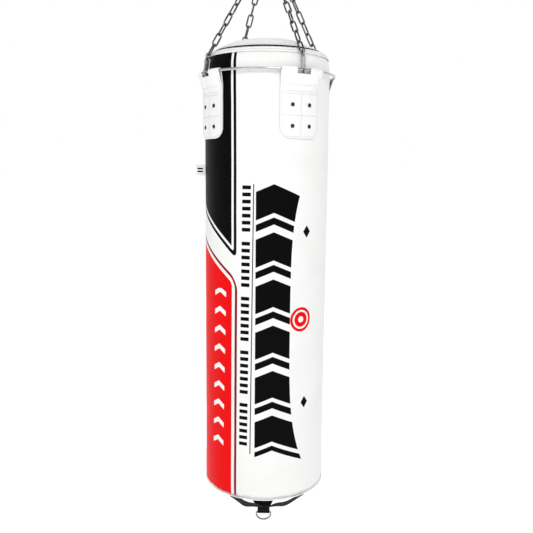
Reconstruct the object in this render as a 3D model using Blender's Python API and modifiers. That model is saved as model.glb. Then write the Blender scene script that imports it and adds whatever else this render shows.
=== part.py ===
"""Hanging punch bag: a stuffed vinyl bag on a steel hoop, four chains, a swivel and a top snap hook.

Metres, +Z up.  The origin is the hang point, on the inside of the top snap hook's crown.
The bag's front is -Y.  An azimuth is the angle from the front (-Y) towards +X.
"""
import math

import bmesh
import bpy
from mathutils import Matrix, Vector

# ---- driving dimensions ------------------------------------------------------------------
GAP = 0.0003                    # clearance between touching pieces
FACET_ROOM = 0.0004             # more of it between curved faces whose facets don't line up

BAG_RADIUS = 0.175
BAG_HEIGHT = 1.225              # rim to lower seam
VINYL = 0.001                   # thickness of the shell's vinyl
SHOULDER_DROP = 0.042           # height over which the top edge rounds inwards
RIM_RADIUS = 0.158              # where the shell meets the zip
LID_RISE = 0.036                # how far the stuffed lid bulges up over its edge
BASE_DROP = 0.040               # how far the stuffed base bulges down
BASE_POWER = 2.2
ZIP_WIDTH = 0.007               # across the zip's sloping band, seen from above
ZIP_RISE = 0.0064               # from the band's outer edge up to its inner edge
ZIP_BAND = 0.0012               # thickness of the band
LINER_RADIUS = 0.172
LINER_THICKNESS = 0.014
HEM_HEIGHT = 0.012

FIRST_HANGER = 30.0             # azimuth of the first of the four hangers, in degrees
HANGERS = 4
HOOP_BELOW_RIM = 0.0555
HOOP_RADIUS = 0.188
HOOP_ROD = 0.0035               # radius of the hoop's rod

TAB_WIDTH = 0.118
TAB_DROP = 0.174                # hoop to the tab's lower edge
TAB_VINYL = 0.002
TAB_CORNER = 0.030
TAB_NOTCH = (0.038, 0.011)      # width, depth below the rod's axis
TAB_CLOSES = 0.036              # below the hoop, where the tab's two layers meet

RIVET_SPACING = 0.0515
RIVET_ROWS = (0.088, 0.1425)    # below the hoop
RIVET_SHANK = 0.0022
RIVET_HOLE = 0.0026
RIVET_HEAD = 0.0055
RIVET_BURR = 0.0045

SNAP_WIRE = 0.0025
SNAP_BEND = 0.0067              # centre-line radius of the crook round the rod
SNAP_LEG = 0.032
SNAP_EYE = 0.0056
SNAP_TILT = 8.0                 # degrees the hook leans in towards the bag's axis
SNAP_NOSE = 0.008
SNAP_STUB = 0.006
GATE_WIRE = 0.0020

CHAIN_WIRE = 0.00225
CHAIN_WIDTH = 0.018
CHAIN_PITCH = 0.032
CHAIN_PRESS = 0.0018            # the links press this far into each other, so a strand is one body

RING_RADIUS = 0.027             # the round ring that gathers the four chains
RING_WIRE = 0.00325
RING_ABOVE_RIM = 0.290
RING_AZIMUTH = FIRST_HANGER + 45.0
RING_SEATS = (14.0, 38.0)      # where the strands hang along the ring, in degrees from its bottom

EYE_RADIUS = 0.0085             # both eyes of the swivel
EYE_WIRE = 0.003
SWIVEL_NECK = 0.004
SWIVEL_BODY = 0.012
SWIVEL_CAVITY = 0.009
SWIVEL_HEIGHT = 0.024
SWIVEL_FLOOR = 0.004

HOOK_WIRE = 0.0035              # the top snap hook
HOOK_BEND = 0.013
HOOK_LENGTH = 0.063             # between the crowns' centre lines
HOOK_GATE_WIRE = 0.00275

STRAP_WIDTH = 0.038
STRAP_WEB = 0.0016
STRAP_DROP = 0.108              # lower seam to the crossing under the base
STRAP_AZIMUTHS = (-27.0, 35.0)
STRAP_POWER = 1.25
KEEPER_DROP = 0.019
D_RING_WIRE = 0.0025
D_RING_WIDTH = 0.044            # length of the straight bar, between centre lines
D_RING_DEPTH = 0.024

LABEL_SIZE = (0.024, 0.030)
LABEL_AZIMUTH = -87.0
LABEL_BELOW_RIM = 0.298

SLIDER_AZIMUTH = 165.0
SLIDER_LIFT = 0.0026            # slider's foot over the zip's band, clear of the hem
ROUND_STEPS = 48                # facets round the large turned pieces
SMALL_STEPS = 16

# ---- levels worked out from them -------------------------------------------------------
HOOK_BOTTOM = HOOK_WIRE - HOOK_LENGTH                       # centre line of the hook's lower crown
UPPER_EYE_Z = HOOK_BOTTOM + HOOK_WIRE + GAP + EYE_WIRE - EYE_RADIUS
SWIVEL_TOP = UPPER_EYE_Z - EYE_RADIUS - EYE_WIRE / 2
SWIVEL_BOTTOM = SWIVEL_TOP - 0.004 - SWIVEL_HEIGHT
LOWER_EYE_Z = SWIVEL_BOTTOM - 0.0035 - EYE_WIRE - EYE_RADIUS
RING_Z = LOWER_EYE_Z - EYE_RADIUS + EYE_WIRE + GAP + RING_WIRE - RING_RADIUS
RIM_Z = RING_Z - RING_ABOVE_RIM
HOOP_Z = RIM_Z - HOOP_BELOW_RIM
SEAM_Z = RIM_Z - BAG_HEIGHT

UP = Vector((0.0, 0.0, 1.0))
COLLECTION = "hanging_punch_bag"
CUTTERS = "cutters"


# ---- small tools -------------------------------------------------------------------------
def radial(azimuth):
    """Unit vector pointing out from the bag's axis at an azimuth in degrees."""
    a = math.radians(azimuth)
    return Vector((math.sin(a), -math.cos(a), 0.0))


def tangent(azimuth):
    """Unit vector along the bag's circumference, towards larger azimuths."""
    a = math.radians(azimuth)
    return Vector((math.cos(a), math.sin(a), 0.0))


def frame_at(origin, x_axis, y_axis, z_axis):
    """Matrix whose columns are the three axes, with its origin at a point."""
    matrix = Matrix((x_axis, y_axis, z_axis)).transposed().to_4x4()
    matrix.translation = origin
    return matrix


def arc(centre, radius, start, end, steps):
    """Points on an arc in a plane, angles in degrees, both ends included."""
    points = []
    for i in range(steps + 1):
        a = math.radians(start + (end - start) * i / steps)
        points.append((centre[0] + radius * math.cos(a), centre[1] + radius * math.sin(a)))
    return points


def make_material(name, color, roughness, metallic=0.0):
    material = bpy.data.materials.new(name)
    material.use_nodes = True
    shader = material.node_tree.nodes["Principled BSDF"]
    shader.inputs["Base Color"].default_value = (*color, 1.0)
    shader.inputs["Roughness"].default_value = roughness
    shader.inputs["Metallic"].default_value = metallic
    material.diffuse_color = (*color, 1.0)
    return material


def place(name, mesh, material=None, matrix=None, collection=COLLECTION):
    """Put a mesh in the scene as a named object."""
    obj = bpy.data.objects.new(name, mesh)
    bpy.data.collections[collection].objects.link(obj)
    if matrix is not None:
        obj.matrix_world = matrix
    if material is not None:
        mesh.materials.clear()
        mesh.materials.append(material)
    if collection == CUTTERS:
        obj.hide_render = True
        obj.display_type = "WIRE"
    return obj


def smooth(mesh, angle=40.0):
    mesh.shade_smooth()
    mesh.set_sharp_from_angle(angle=math.radians(angle))


def wire_mesh(name, points, radius, cyclic=False, sides=8):
    """Round wire along points: a bevelled curve made into a mesh with welded caps."""
    curve = bpy.data.curves.new(name + "_curve", "CURVE")
    curve.dimensions = "3D"
    curve.bevel_depth = radius
    curve.bevel_resolution = (sides - 4) // 2
    curve.use_fill_caps = True
    spline = curve.splines.new("POLY")
    spline.points.add(len(points) - 1)
    for point, co in zip(spline.points, points):
        point.co = (*co, 1.0)
    spline.use_cyclic_u = cyclic
    guide = bpy.data.objects.new(name + "_guide", curve)
    bpy.context.scene.collection.objects.link(guide)
    graph = bpy.context.evaluated_depsgraph_get()
    mesh = bpy.data.meshes.new_from_object(guide.evaluated_get(graph))
    mesh.name = name
    bpy.data.objects.remove(guide)
    bm = bmesh.new()
    bm.from_mesh(mesh)
    bmesh.ops.remove_doubles(bm, verts=bm.verts, dist=1e-6)
    bmesh.ops.recalc_face_normals(bm, faces=bm.faces)
    bm.to_mesh(mesh)
    bm.free()
    smooth(mesh)
    return mesh


def profile_mesh(name, profile):
    """Open outline in the XZ plane, as (radius, height) points."""
    mesh = bpy.data.meshes.new(name)
    edges = [(i, i + 1) for i in range(len(profile) - 1)]
    mesh.from_pydata([(r, 0.0, z) for r, z in profile], edges, [])
    return mesh


def turned(name, profile, material, steps=ROUND_STEPS, thickness=None, matrix=None, collection=COLLECTION):
    """Outline turned about Z.  It runs down the outer side; with a thickness it is a shell."""
    obj = place(name, profile_mesh(name, profile), material, matrix, collection)
    screw = obj.modifiers.new("turn", "SCREW")
    screw.steps = steps
    screw.render_steps = steps
    screw.use_merge_vertices = True
    screw.merge_threshold = 0.00001
    screw.use_smooth_shade = True
    if thickness is not None:
        solidify = obj.modifiers.new("vinyl", "SOLIDIFY")
        solidify.thickness = thickness
        solidify.offset = -1.0
        solidify.use_even_offset = True
    return obj


def boolean(obj, cutter, operation):
    modifier = obj.modifiers.new("cut" if operation == "DIFFERENCE" else "join", "BOOLEAN")
    modifier.operation = operation
    modifier.object = cutter


def evaluated_mesh(obj):
    """Finished mesh of an object with its modifiers, in the object's own space."""
    bpy.context.view_layer.update()
    graph = bpy.context.evaluated_depsgraph_get()
    return bpy.data.meshes.new_from_object(obj.evaluated_get(graph))


def joined(name, meshes, material, collection=COLLECTION, matrix=None):
    """Boolean union of closed meshes that overlap, as one object."""
    obj = place(name, meshes[0], material, matrix, collection)
    for i, mesh in enumerate(meshes[1:]):
        other = place(f"{name}_with_{i}", mesh, material, matrix, CUTTERS)
        boolean(obj, other, "UNION")
    return obj


def transformed(mesh, matrix):
    copy = mesh.copy()
    copy.transform(matrix)
    return copy


# ---- the bag -------------------------------------------------------------------------------
def shoulder(offset=0.0):
    """Rounded top edge of the bag from the rim down, as a quarter of an ellipse."""
    points = []
    steps = 5
    for i in range(steps + 1):
        a = math.radians(90.0 * i / steps)
        r = RIM_RADIUS + (BAG_RADIUS - RIM_RADIUS) * math.sin(a) + offset * math.sin(a)
        z = RIM_Z - SHOULDER_DROP * (1.0 - math.cos(a)) + offset * math.cos(a)
        points.append((r, z))
    return points


def base_z(r):
    """Height of the base's outer face at a radius."""
    edge = BAG_RADIUS - VINYL - GAP
    return SEAM_Z - BASE_DROP * (1.0 - (r / edge) ** BASE_POWER)


def rivet_places():
    """Each rivet's name, azimuth and height."""
    half = math.degrees(RIVET_SPACING / 2 / (BAG_RADIUS + 0.004))
    places = []
    for hanger in range(HANGERS):
        centre = FIRST_HANGER + 360.0 * hanger / HANGERS
        for row, drop in enumerate(RIVET_ROWS):
            for side in (-1, 1):
                name = f"tab_{hanger + 1}_rivet_{row * 2 + (side + 3) // 2}"
                places.append((name, centre + side * half, HOOP_Z - drop))
    return places


def make_rivet_drills():
    """Cylinders through the tabs and the shell, one for each rivet."""
    bm = bmesh.new()
    for _, azimuth, z in rivet_places():
        out = radial(azimuth)
        centre = out * (BAG_RADIUS + 0.002)
        centre.z = z
        matrix = frame_at(centre, tangent(azimuth), UP, out)
        bmesh.ops.create_cone(bm, cap_ends=True, segments=8, radius1=RIVET_HOLE, radius2=RIVET_HOLE,
                              depth=0.016, matrix=matrix)
    bmesh.ops.recalc_face_normals(bm, faces=bm.faces)
    mesh = bpy.data.meshes.new("rivet_drills")
    bm.to_mesh(mesh)
    bm.free()
    return place("rivet_drills", mesh, collection=CUTTERS)


def make_bag(mats, drills):
    side = [(BAG_RADIUS, SEAM_Z + BAG_HEIGHT * f) for f in (0.5, 0.0)]
    shell = turned("bag_shell", shoulder() + side, mats["vinyl"], thickness=VINYL)
    boolean(shell, drills, "DIFFERENCE")

    hem_offset = VINYL + GAP
    hem = [p for p in shoulder(hem_offset) if RIM_Z - p[1] < HEM_HEIGHT]
    turned("top_hem", hem, mats["vinyl"], thickness=VINYL)

    zip_outer = RIM_RADIUS - GAP * 2
    zip_inner = zip_outer - ZIP_WIDTH
    band = [(zip_inner, RIM_Z + ZIP_RISE), (zip_outer, RIM_Z)]
    turned("zip_tape", band, mats["zip"], thickness=ZIP_BAND)

    lid_edge = zip_inner - ZIP_BAND * math.sin(math.atan2(ZIP_RISE, ZIP_WIDTH)) - GAP
    lid_z = RIM_Z + ZIP_RISE
    lid = [(lid_edge * f, lid_z + LID_RISE * (1.0 - f ** 2)) for f in (0.0, 0.25, 0.5, 0.72, 0.88, 1.0)]
    turned("lid_panel", lid, mats["vinyl"], steps=40, thickness=VINYL)

    edge = BAG_RADIUS - VINYL - GAP
    radii = [edge * f for f in (1.0, 0.9, 0.75, 0.55, 0.3, 0.0)]
    base = [(edge, SEAM_Z + 0.012)] + [(r, base_z(r)) for r in radii]
    turned("base_panel", base, mats["vinyl"], thickness=VINYL)

    liner_top = RIM_Z - SHOULDER_DROP - 0.004
    liner_bottom = SEAM_Z + 0.014
    liner = [(LINER_RADIUS, liner_top), (LINER_RADIUS, liner_bottom)]
    turned("foam_liner", liner, mats["foam"], steps=40, thickness=LINER_THICKNESS)
    core_radius = LINER_RADIUS - LINER_THICKNESS - GAP * 2
    core = [(0.0, liner_top), (core_radius, liner_top), (core_radius, liner_bottom), (0.0, liner_bottom)]
    turned("filling_core", core, mats["rag"], steps=40)


def make_label(mats):
    """Small woven flag sewn into the side, standing out from the shell."""
    out = radial(LABEL_AZIMUTH)
    centre = out * (BAG_RADIUS + GAP * 2 + LABEL_SIZE[0] / 2)
    centre.z = RIM_Z - LABEL_BELOW_RIM - LABEL_SIZE[1] / 2
    bm = bmesh.new()
    bmesh.ops.create_cube(bm, size=1.0)
    bmesh.ops.scale(bm, verts=bm.verts, vec=(LABEL_SIZE[0], 0.001, LABEL_SIZE[1]))
    mesh = bpy.data.meshes.new("side_label")
    bm.to_mesh(mesh)
    bm.free()
    place("side_label", mesh, mats["label"], frame_at(centre, out, UP.cross(out), UP))


# ---- zip slider and its pull ------------------------------------------------------------------
def make_zip_slider(mats):
    out = radial(SLIDER_AZIMUTH)
    along = tangent(SLIDER_AZIMUTH)
    slope = math.atan2(ZIP_RISE, ZIP_WIDTH)
    normal = out * math.sin(slope) + UP * math.cos(slope)
    centre = out * (RIM_RADIUS - GAP * 2 - ZIP_WIDTH / 2) + UP * (RIM_Z + ZIP_RISE / 2)
    centre += normal * SLIDER_LIFT
    matrix = frame_at(centre, along, normal.cross(along), normal)
    bm = bmesh.new()
    plate = bmesh.ops.create_cone(bm, cap_ends=True, segments=12, radius1=0.0052, radius2=0.0044,
                                  depth=0.0022,
                                  matrix=Matrix.Translation((0, 0, 0.0011)))
    bmesh.ops.scale(bm, verts=plate["verts"], vec=(1.25, 0.85, 1.0))
    mesh = bpy.data.meshes.new("zip_slider")
    bm.to_mesh(mesh)
    bm.free()
    lug_path = [(x, 0, z) for x, z in arc((0.0, 0.0022), 0.0034, 0, 180, 8)]
    lug = wire_mesh("slider_lug", lug_path, 0.0007, sides=6)
    joined("zip_slider", [mesh, lug], mats["steel"], matrix=matrix)
    loop = [(0.0, 0.0026, 0.0), (0.0, -0.0026, 0.0), (0.018, -0.0022, 0.0), (0.018, 0.0022, 0.0)]
    pull = wire_mesh("zip_pull", loop, 0.0008, cyclic=True, sides=6)
    place("zip_pull", pull, mats["steel"], matrix @ Matrix.Translation((0, 0, 0.0034)))


# ---- hoop, tabs and rivets ---------------------------------------------------------------------
def make_hoop(mats):
    circle = [(HOOP_RADIUS * math.cos(a), HOOP_RADIUS * math.sin(a), HOOP_Z)
              for a in (2 * math.pi * i / ROUND_STEPS for i in range(ROUND_STEPS))]
    place("hoop_ring", wire_mesh("hoop_ring", circle, HOOP_ROD, cyclic=True), mats["steel"])


def tab_midline():
    """Middle of the folded strip as (radius, drop below the hoop), inner end first."""
    inner = BAG_RADIUS + FACET_ROOM + GAP + TAB_VINYL / 2
    outer = inner + TAB_VINYL + GAP
    bend = HOOP_ROD + 2 * FACET_ROOM + GAP + TAB_VINYL / 2
    drops = [TAB_DROP - TAB_CORNER * f for f in (0.0, 0.07, 0.28, 1.0)] + [0.08]
    line = [(inner, d) for d in drops]
    line += [(inner, TAB_CLOSES - 0.004)]
    line += [(HOOP_RADIUS + r, -z) for r, z in arc((0.0, 0.0), bend, 170.0, 8.0, 6)]
    line += [(outer, d) for d in (TAB_CLOSES + 0.006, 0.08)]
    line += [(outer, d) for d in drops[3::-1]]
    return line


def tab_half_width(drop):
    """Half the tab's width at a drop below the hoop, with its lower corners rounded."""
    above = TAB_DROP - drop
    if above >= TAB_CORNER:
        return TAB_WIDTH / 2
    inset = TAB_CORNER - math.sqrt(TAB_CORNER ** 2 - (TAB_CORNER - above) ** 2)
    return TAB_WIDTH / 2 - inset


def make_tabs(mats, drills):
    columns = 8
    line = tab_midline()
    for hanger in range(HANGERS):
        centre = FIRST_HANGER + 360.0 * hanger / HANGERS
        bm = bmesh.new()
        rows = []
        for r, drop in line:
            half = math.degrees(tab_half_width(drop) / (BAG_RADIUS + 0.003))
            row = []
            for i in range(columns):
                azimuth = centre + half * (2.0 * i / (columns - 1) - 1.0)
                point = radial(azimuth) * r
                row.append(bm.verts.new((point.x, point.y, HOOP_Z - drop)))
            rows.append(row)
        for low, high in zip(rows, rows[1:]):
            for i in range(columns - 1):
                bm.faces.new((low[i], low[i + 1], high[i + 1], high[i]))
        mesh = bpy.data.meshes.new(f"tab_{hanger + 1}")
        bm.to_mesh(mesh)
        bm.free()
        smooth(mesh)
        tab = place(f"tab_{hanger + 1}", mesh, mats["vinyl"])
        solidify = tab.modifiers.new("vinyl", "SOLIDIFY")
        solidify.thickness = TAB_VINYL
        solidify.offset = 0.0
        boolean(tab, make_notch_cutter(hanger, centre), "DIFFERENCE")
        boolean(tab, drills, "DIFFERENCE")


def make_notch_cutter(hanger, azimuth):
    """Block that opens the middle of the fold, where the snap hook grips the rod."""
    width, depth = TAB_NOTCH
    top = 0.02
    bm = bmesh.new()
    bmesh.ops.create_cube(bm, size=1.0)
    bmesh.ops.scale(bm, verts=bm.verts, vec=(width, 0.04, depth + top))
    mesh = bpy.data.meshes.new("notch")
    bm.to_mesh(mesh)
    bm.free()
    centre = radial(azimuth) * HOOP_RADIUS
    centre.z = HOOP_Z + (top - depth) / 2
    matrix = frame_at(centre, tangent(azimuth), -radial(azimuth), UP)
    return place(f"notch_cutter_{hanger + 1}", mesh, matrix=matrix, collection=CUTTERS)


def make_rivets(mats):
    """Dome head outside the tab, shank through tab and shell, burr inside."""
    face = BAG_RADIUS + FACET_ROOM + GAP * 3 + TAB_VINYL * 2
    inside = BAG_RADIUS - VINYL - 0.0005
    profile = [(0.0, 0.0030), (RIVET_HEAD * 0.6, 0.0024), (RIVET_HEAD, 0.0),
               (RIVET_SHANK, 0.0), (RIVET_SHANK, inside - face), (RIVET_BURR, inside - face),
               (RIVET_BURR, inside - face - 0.0009), (0.0, inside - face - 0.0009)]
    for name, azimuth, z in rivet_places():
        centre = radial(azimuth) * face
        centre.z = z
        matrix = frame_at(centre, tangent(azimuth), UP, radial(azimuth))
        turned(name, profile, mats["steel"], steps=8, matrix=matrix)


# ---- snap hooks on the hoop ------------------------------------------------------------------------
def hanger_frame(azimuth):
    """Snap hook's frame: origin on the rod's axis, X out from the bag, Z up the leaning hook."""
    out = radial(azimuth)
    lean = math.radians(SNAP_TILT)
    up = UP * math.cos(lean) - out * math.sin(lean)
    across = UP.cross(out)
    origin = out * HOOP_RADIUS
    origin.z = HOOP_Z
    return frame_at(origin, across.cross(up), across, up)


def snap_rise():
    """Lift of the crook's centre over the rod's axis."""
    return SNAP_BEND - SNAP_WIRE - HOOP_ROD - GAP


def gate_outline(radius, reach):
    """Outline of a gate: a round end centred on its hinge, and a flat end at a height of reach."""
    side = 1.0 if reach < 0 else -1.0
    angles = [math.radians(a) for a in (0.0, 30.0, 60.0, 90.0)]
    ball = [(radius * math.sin(a), side * radius * math.cos(a)) for a in angles]
    outline = ball + [(radius, reach), (0.0, reach)]
    return outline if reach < 0 else outline[::-1]


def make_snap_hooks(mats):
    rise = snap_rise()
    top = SNAP_LEG
    path = [(SNAP_BEND, rise + SNAP_NOSE)] + arc((0, rise), SNAP_BEND, 0, -180, 7)
    path += arc((0, top), SNAP_BEND, 180, 0, 6) + [(SNAP_BEND, top - SNAP_STUB)]
    body = wire_mesh("snap_body", [(x, 0, z) for x, z in path], SNAP_WIRE)
    centre = top + SNAP_BEND + SNAP_EYE
    circle = [(x, 0, z) for x, z in arc((0, centre), SNAP_EYE, 14, 346, 11)]
    eye = wire_mesh("snap_eye", circle, SNAP_WIRE, cyclic=True)
    gate_top = top - SNAP_STUB - GAP
    gate_bottom = rise + SNAP_NOSE + GAP
    pivot_z = gate_top - GATE_WIRE
    gate = gate_outline(GATE_WIRE, gate_bottom - pivot_z)
    for hanger in range(HANGERS):
        matrix = hanger_frame(FIRST_HANGER + 360.0 * hanger / HANGERS)
        joined(f"snap_hook_{hanger + 1}", [body.copy(), eye.copy()], mats["steel"], matrix=matrix)
        pivot = matrix @ Matrix.Translation((SNAP_BEND, 0, pivot_z))
        turned(f"snap_gate_{hanger + 1}", gate, mats["steel"], steps=8, matrix=pivot)


# ---- chain strands -----------------------------------------------------------------------------------
def link_mesh(length):
    """One chain link lying in the XZ plane, long side along Z."""
    radius = CHAIN_WIDTH / 2 - CHAIN_WIRE
    bends = 3
    straight = length / 2 - radius * math.cos(math.pi / 2 / bends)
    path = arc((0, straight), radius, 0, 180, bends) + arc((0, -straight), radius, 180, 360, bends)
    return wire_mesh("chain_link", [(x, 0, z) for x, z in path], CHAIN_WIRE, cyclic=True, sides=6)


def ring_frame():
    """Ring's frame: X along the ring's plane, Z up."""
    return frame_at(Vector((0, 0, RING_Z)), radial(RING_AZIMUTH), UP.cross(radial(RING_AZIMUTH)),
                    UP)


def strand_ends(hanger):
    """Lowest and highest point that a strand's crowns reach, and the ring's tangent at its top."""
    azimuth = FIRST_HANGER + 360.0 * hanger / HANGERS
    snap = hanger_frame(azimuth)
    eye_top = SNAP_LEG + SNAP_BEND + 2 * SNAP_EYE
    low = snap @ Vector((0, 0, eye_top - SNAP_WIRE - CHAIN_WIRE - GAP))
    side = 1.0 if radial(azimuth).dot(radial(RING_AZIMUTH)) > 0 else -1.0
    seat = math.radians(RING_SEATS[hanger % 2]) * side
    ring = ring_frame()
    wire = ring @ Vector((RING_RADIUS * math.sin(seat), 0, -RING_RADIUS * math.cos(seat)))
    direction = (wire - low).normalized()
    high = wire + direction * (RING_WIRE + CHAIN_WIRE + GAP)
    along = ring.to_3x3() @ Vector((math.cos(seat), 0, math.sin(seat)))
    return low, high, along


def make_strands(mats):
    for hanger in range(HANGERS):
        low, high, along_ring = strand_ends(hanger)
        axis = (high - low).normalized()
        span = (high - low).length
        count = round((span - 2 * CHAIN_WIRE) / CHAIN_PITCH)
        pitch = (span + (count - 1) * (2 * CHAIN_WIRE - CHAIN_PRESS)) / count
        step = (span - pitch) / (count - 1)
        link = link_mesh(pitch)
        first = tangent(FIRST_HANGER + 360.0 * hanger / HANGERS)
        first = (first - axis * first.dot(axis)).normalized()
        second = axis.cross(first)
        wanted = axis.cross(along_ring).normalized()
        turn = math.degrees(math.atan2(wanted.dot(second), wanted.dot(first)))
        quarter = 90.0 * (count - 1)
        twist = (turn - quarter + 90.0) % 180.0 - 90.0
        halves = ([], [])
        for k in range(count):
            angle = math.radians(90.0 * k + twist * k / (count - 1))
            across = first * math.cos(angle) + second * math.sin(angle)
            centre = low + axis * (pitch / 2 + step * k)
            halves[k % 2].append(transformed(link, frame_at(centre, across, axis.cross(across), axis)))
        meshes = [merged(f"strand_half_{i}", half) for i, half in enumerate(halves)]
        joined(f"chain_strand_{hanger + 1}", meshes, mats["steel"])


def merged(name, meshes):
    """One mesh that holds several separate ones."""
    bm = bmesh.new()
    for mesh in meshes:
        bm.from_mesh(mesh)
    mesh = bpy.data.meshes.new(name)
    bm.to_mesh(mesh)
    bm.free()
    smooth(mesh)
    return mesh


# ---- ring, swivel and top snap hook ----------------------------------------------------------------
def ring_mesh(name, radius, wire, steps=24, sides=8):
    points = [(x, 0, z) for x, z in arc((0, 0), radius, 0, 360 - 360 / steps, steps - 1)]
    return wire_mesh(name, points, wire, cyclic=True, sides=sides)


def make_gather_ring(mats):
    place("gather_ring", ring_mesh("gather_ring", RING_RADIUS, RING_WIRE, 28), mats["steel"], ring_frame())


def make_swivel(mats):
    lower = frame_at(Vector((0, 0, LOWER_EYE_Z)), radial(RING_AZIMUTH - 90), radial(RING_AZIMUTH), UP)
    head_z = SWIVEL_BOTTOM + SWIVEL_FLOOR + 0.0036 + GAP * 2
    stud = [(0.0, head_z + 0.004), (SWIVEL_CAVITY - 0.0006, head_z + 0.004), (SWIVEL_CAVITY - 0.0006, head_z),
            (SWIVEL_NECK, head_z), (SWIVEL_NECK, LOWER_EYE_Z + EYE_RADIUS - 0.001),
            (0.0, LOWER_EYE_Z + EYE_RADIUS - 0.001)]
    stud_obj = turned("swivel_stud", stud, mats["steel"], steps=SMALL_STEPS)
    eye = place("stud_eye", ring_mesh("stud_eye", EYE_RADIUS, EYE_WIRE, 16), matrix=lower, collection=CUTTERS)
    boolean(stud_obj, eye, "UNION")

    washer_top = head_z - GAP
    washer_bottom = SWIVEL_BOTTOM + SWIVEL_FLOOR + GAP
    washer = [(SWIVEL_NECK + GAP, washer_top), (SWIVEL_CAVITY - 0.0006, washer_top),
              (SWIVEL_CAVITY - 0.0006, washer_bottom), (SWIVEL_NECK + GAP, washer_bottom)]
    closed_turn("swivel_washer", washer, mats["brass"])

    floor = SWIVEL_BOTTOM + SWIVEL_FLOOR
    top = SWIVEL_TOP - 0.004 - GAP
    chamfer = 0.0015
    housing = [(SWIVEL_CAVITY, top), (SWIVEL_BODY - chamfer, top), (SWIVEL_BODY, top - chamfer),
               (SWIVEL_BODY, SWIVEL_BOTTOM + 2 * chamfer), (SWIVEL_BODY - 2 * chamfer, SWIVEL_BOTTOM),
               (SWIVEL_NECK + GAP, SWIVEL_BOTTOM), (SWIVEL_NECK + GAP, floor), (SWIVEL_CAVITY, floor)]
    closed_turn("swivel_housing", housing, mats["steel"])

    plug_radius = SWIVEL_CAVITY - GAP
    plug = [(0.0, SWIVEL_TOP), (SWIVEL_BODY - chamfer, SWIVEL_TOP), (SWIVEL_BODY, SWIVEL_TOP - chamfer),
            (SWIVEL_BODY, SWIVEL_TOP - 0.004), (plug_radius, SWIVEL_TOP - 0.004),
            (plug_radius, head_z + 0.004 + GAP * 2), (0.0, head_z + 0.004 + GAP * 2)]
    plug_obj = turned("swivel_cap", plug, mats["steel"], steps=SMALL_STEPS)
    upper = frame_at(Vector((0, 0, UPPER_EYE_Z)), Vector((0, 1, 0)), Vector((-1, 0, 0)), UP)
    eye = place("cap_eye", ring_mesh("cap_eye", EYE_RADIUS, EYE_WIRE, 16), matrix=upper, collection=CUTTERS)
    boolean(plug_obj, eye, "UNION")


def closed_turn(name, loop, material, steps=SMALL_STEPS):
    """Closed outline turned about Z.  The outline runs down its outer side."""
    mesh = bpy.data.meshes.new(name)
    edges = [(i, (i + 1) % len(loop)) for i in range(len(loop))]
    mesh.from_pydata([(r, 0.0, z) for r, z in loop], edges, [])
    obj = place(name, mesh, material)
    screw = obj.modifiers.new("turn", "SCREW")
    screw.steps = steps
    screw.render_steps = steps
    screw.use_merge_vertices = True
    screw.merge_threshold = 0.00001
    return obj


def make_top_hook(mats):
    low = HOOK_BOTTOM + HOOK_BEND
    high = HOOK_BOTTOM + HOOK_LENGTH - HOOK_BEND
    nose = high - 0.004
    stub = low + 0.004
    path = [(HOOK_BEND, nose)] + arc((0, high), HOOK_BEND, 0, 180, 12)
    path += arc((0, low), HOOK_BEND, 180, 360, 12) + [(HOOK_BEND, stub)]
    place("top_hook", wire_mesh("top_hook", [(x, 0, z) for x, z in path], HOOK_WIRE), mats["steel"])
    pivot_z = stub + GAP + HOOK_GATE_WIRE
    gate = gate_outline(HOOK_GATE_WIRE, nose - GAP - pivot_z)
    pivot = Matrix.Translation((HOOK_BEND, 0, pivot_z))
    turned("top_hook_gate", gate, mats["steel"], steps=8, matrix=pivot)


# ---- webbing and ring under the base ---------------------------------------------------------------
def strap_z(r):
    """Height of the webbing's middle at a distance from the axis: slack, steeper near the seam."""
    return SEAM_Z - 0.0018 - STRAP_DROP * (1.0 - (r / BAG_RADIUS) ** STRAP_POWER)


def strap_mesh(name, azimuth, lower):
    steps = 16
    bm = bmesh.new()
    rows = []
    for i in range(steps + 1):
        s = BAG_RADIUS * math.cos(math.pi * i / steps)
        middle = radial(azimuth) * s
        middle.z = strap_z(abs(s)) - lower
        side = tangent(azimuth) * (STRAP_WIDTH / 2)
        rows.append((bm.verts.new(middle - side), bm.verts.new(middle + side)))
    for a, b in zip(rows, rows[1:]):
        bm.faces.new((a[0], b[0], b[1], a[1]))
    mesh = bpy.data.meshes.new(name)
    bm.to_mesh(mesh)
    bm.free()
    obj = place(name, mesh, collection=CUTTERS)
    solidify = obj.modifiers.new("web", "SOLIDIFY")
    solidify.thickness = STRAP_WEB
    solidify.offset = 0.0
    final = evaluated_mesh(obj)
    bpy.data.objects.remove(obj)
    bm = bmesh.new()
    bm.from_mesh(final)
    bmesh.ops.recalc_face_normals(bm, faces=bm.faces)
    bm.to_mesh(final)
    bm.free()
    return final


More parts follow.
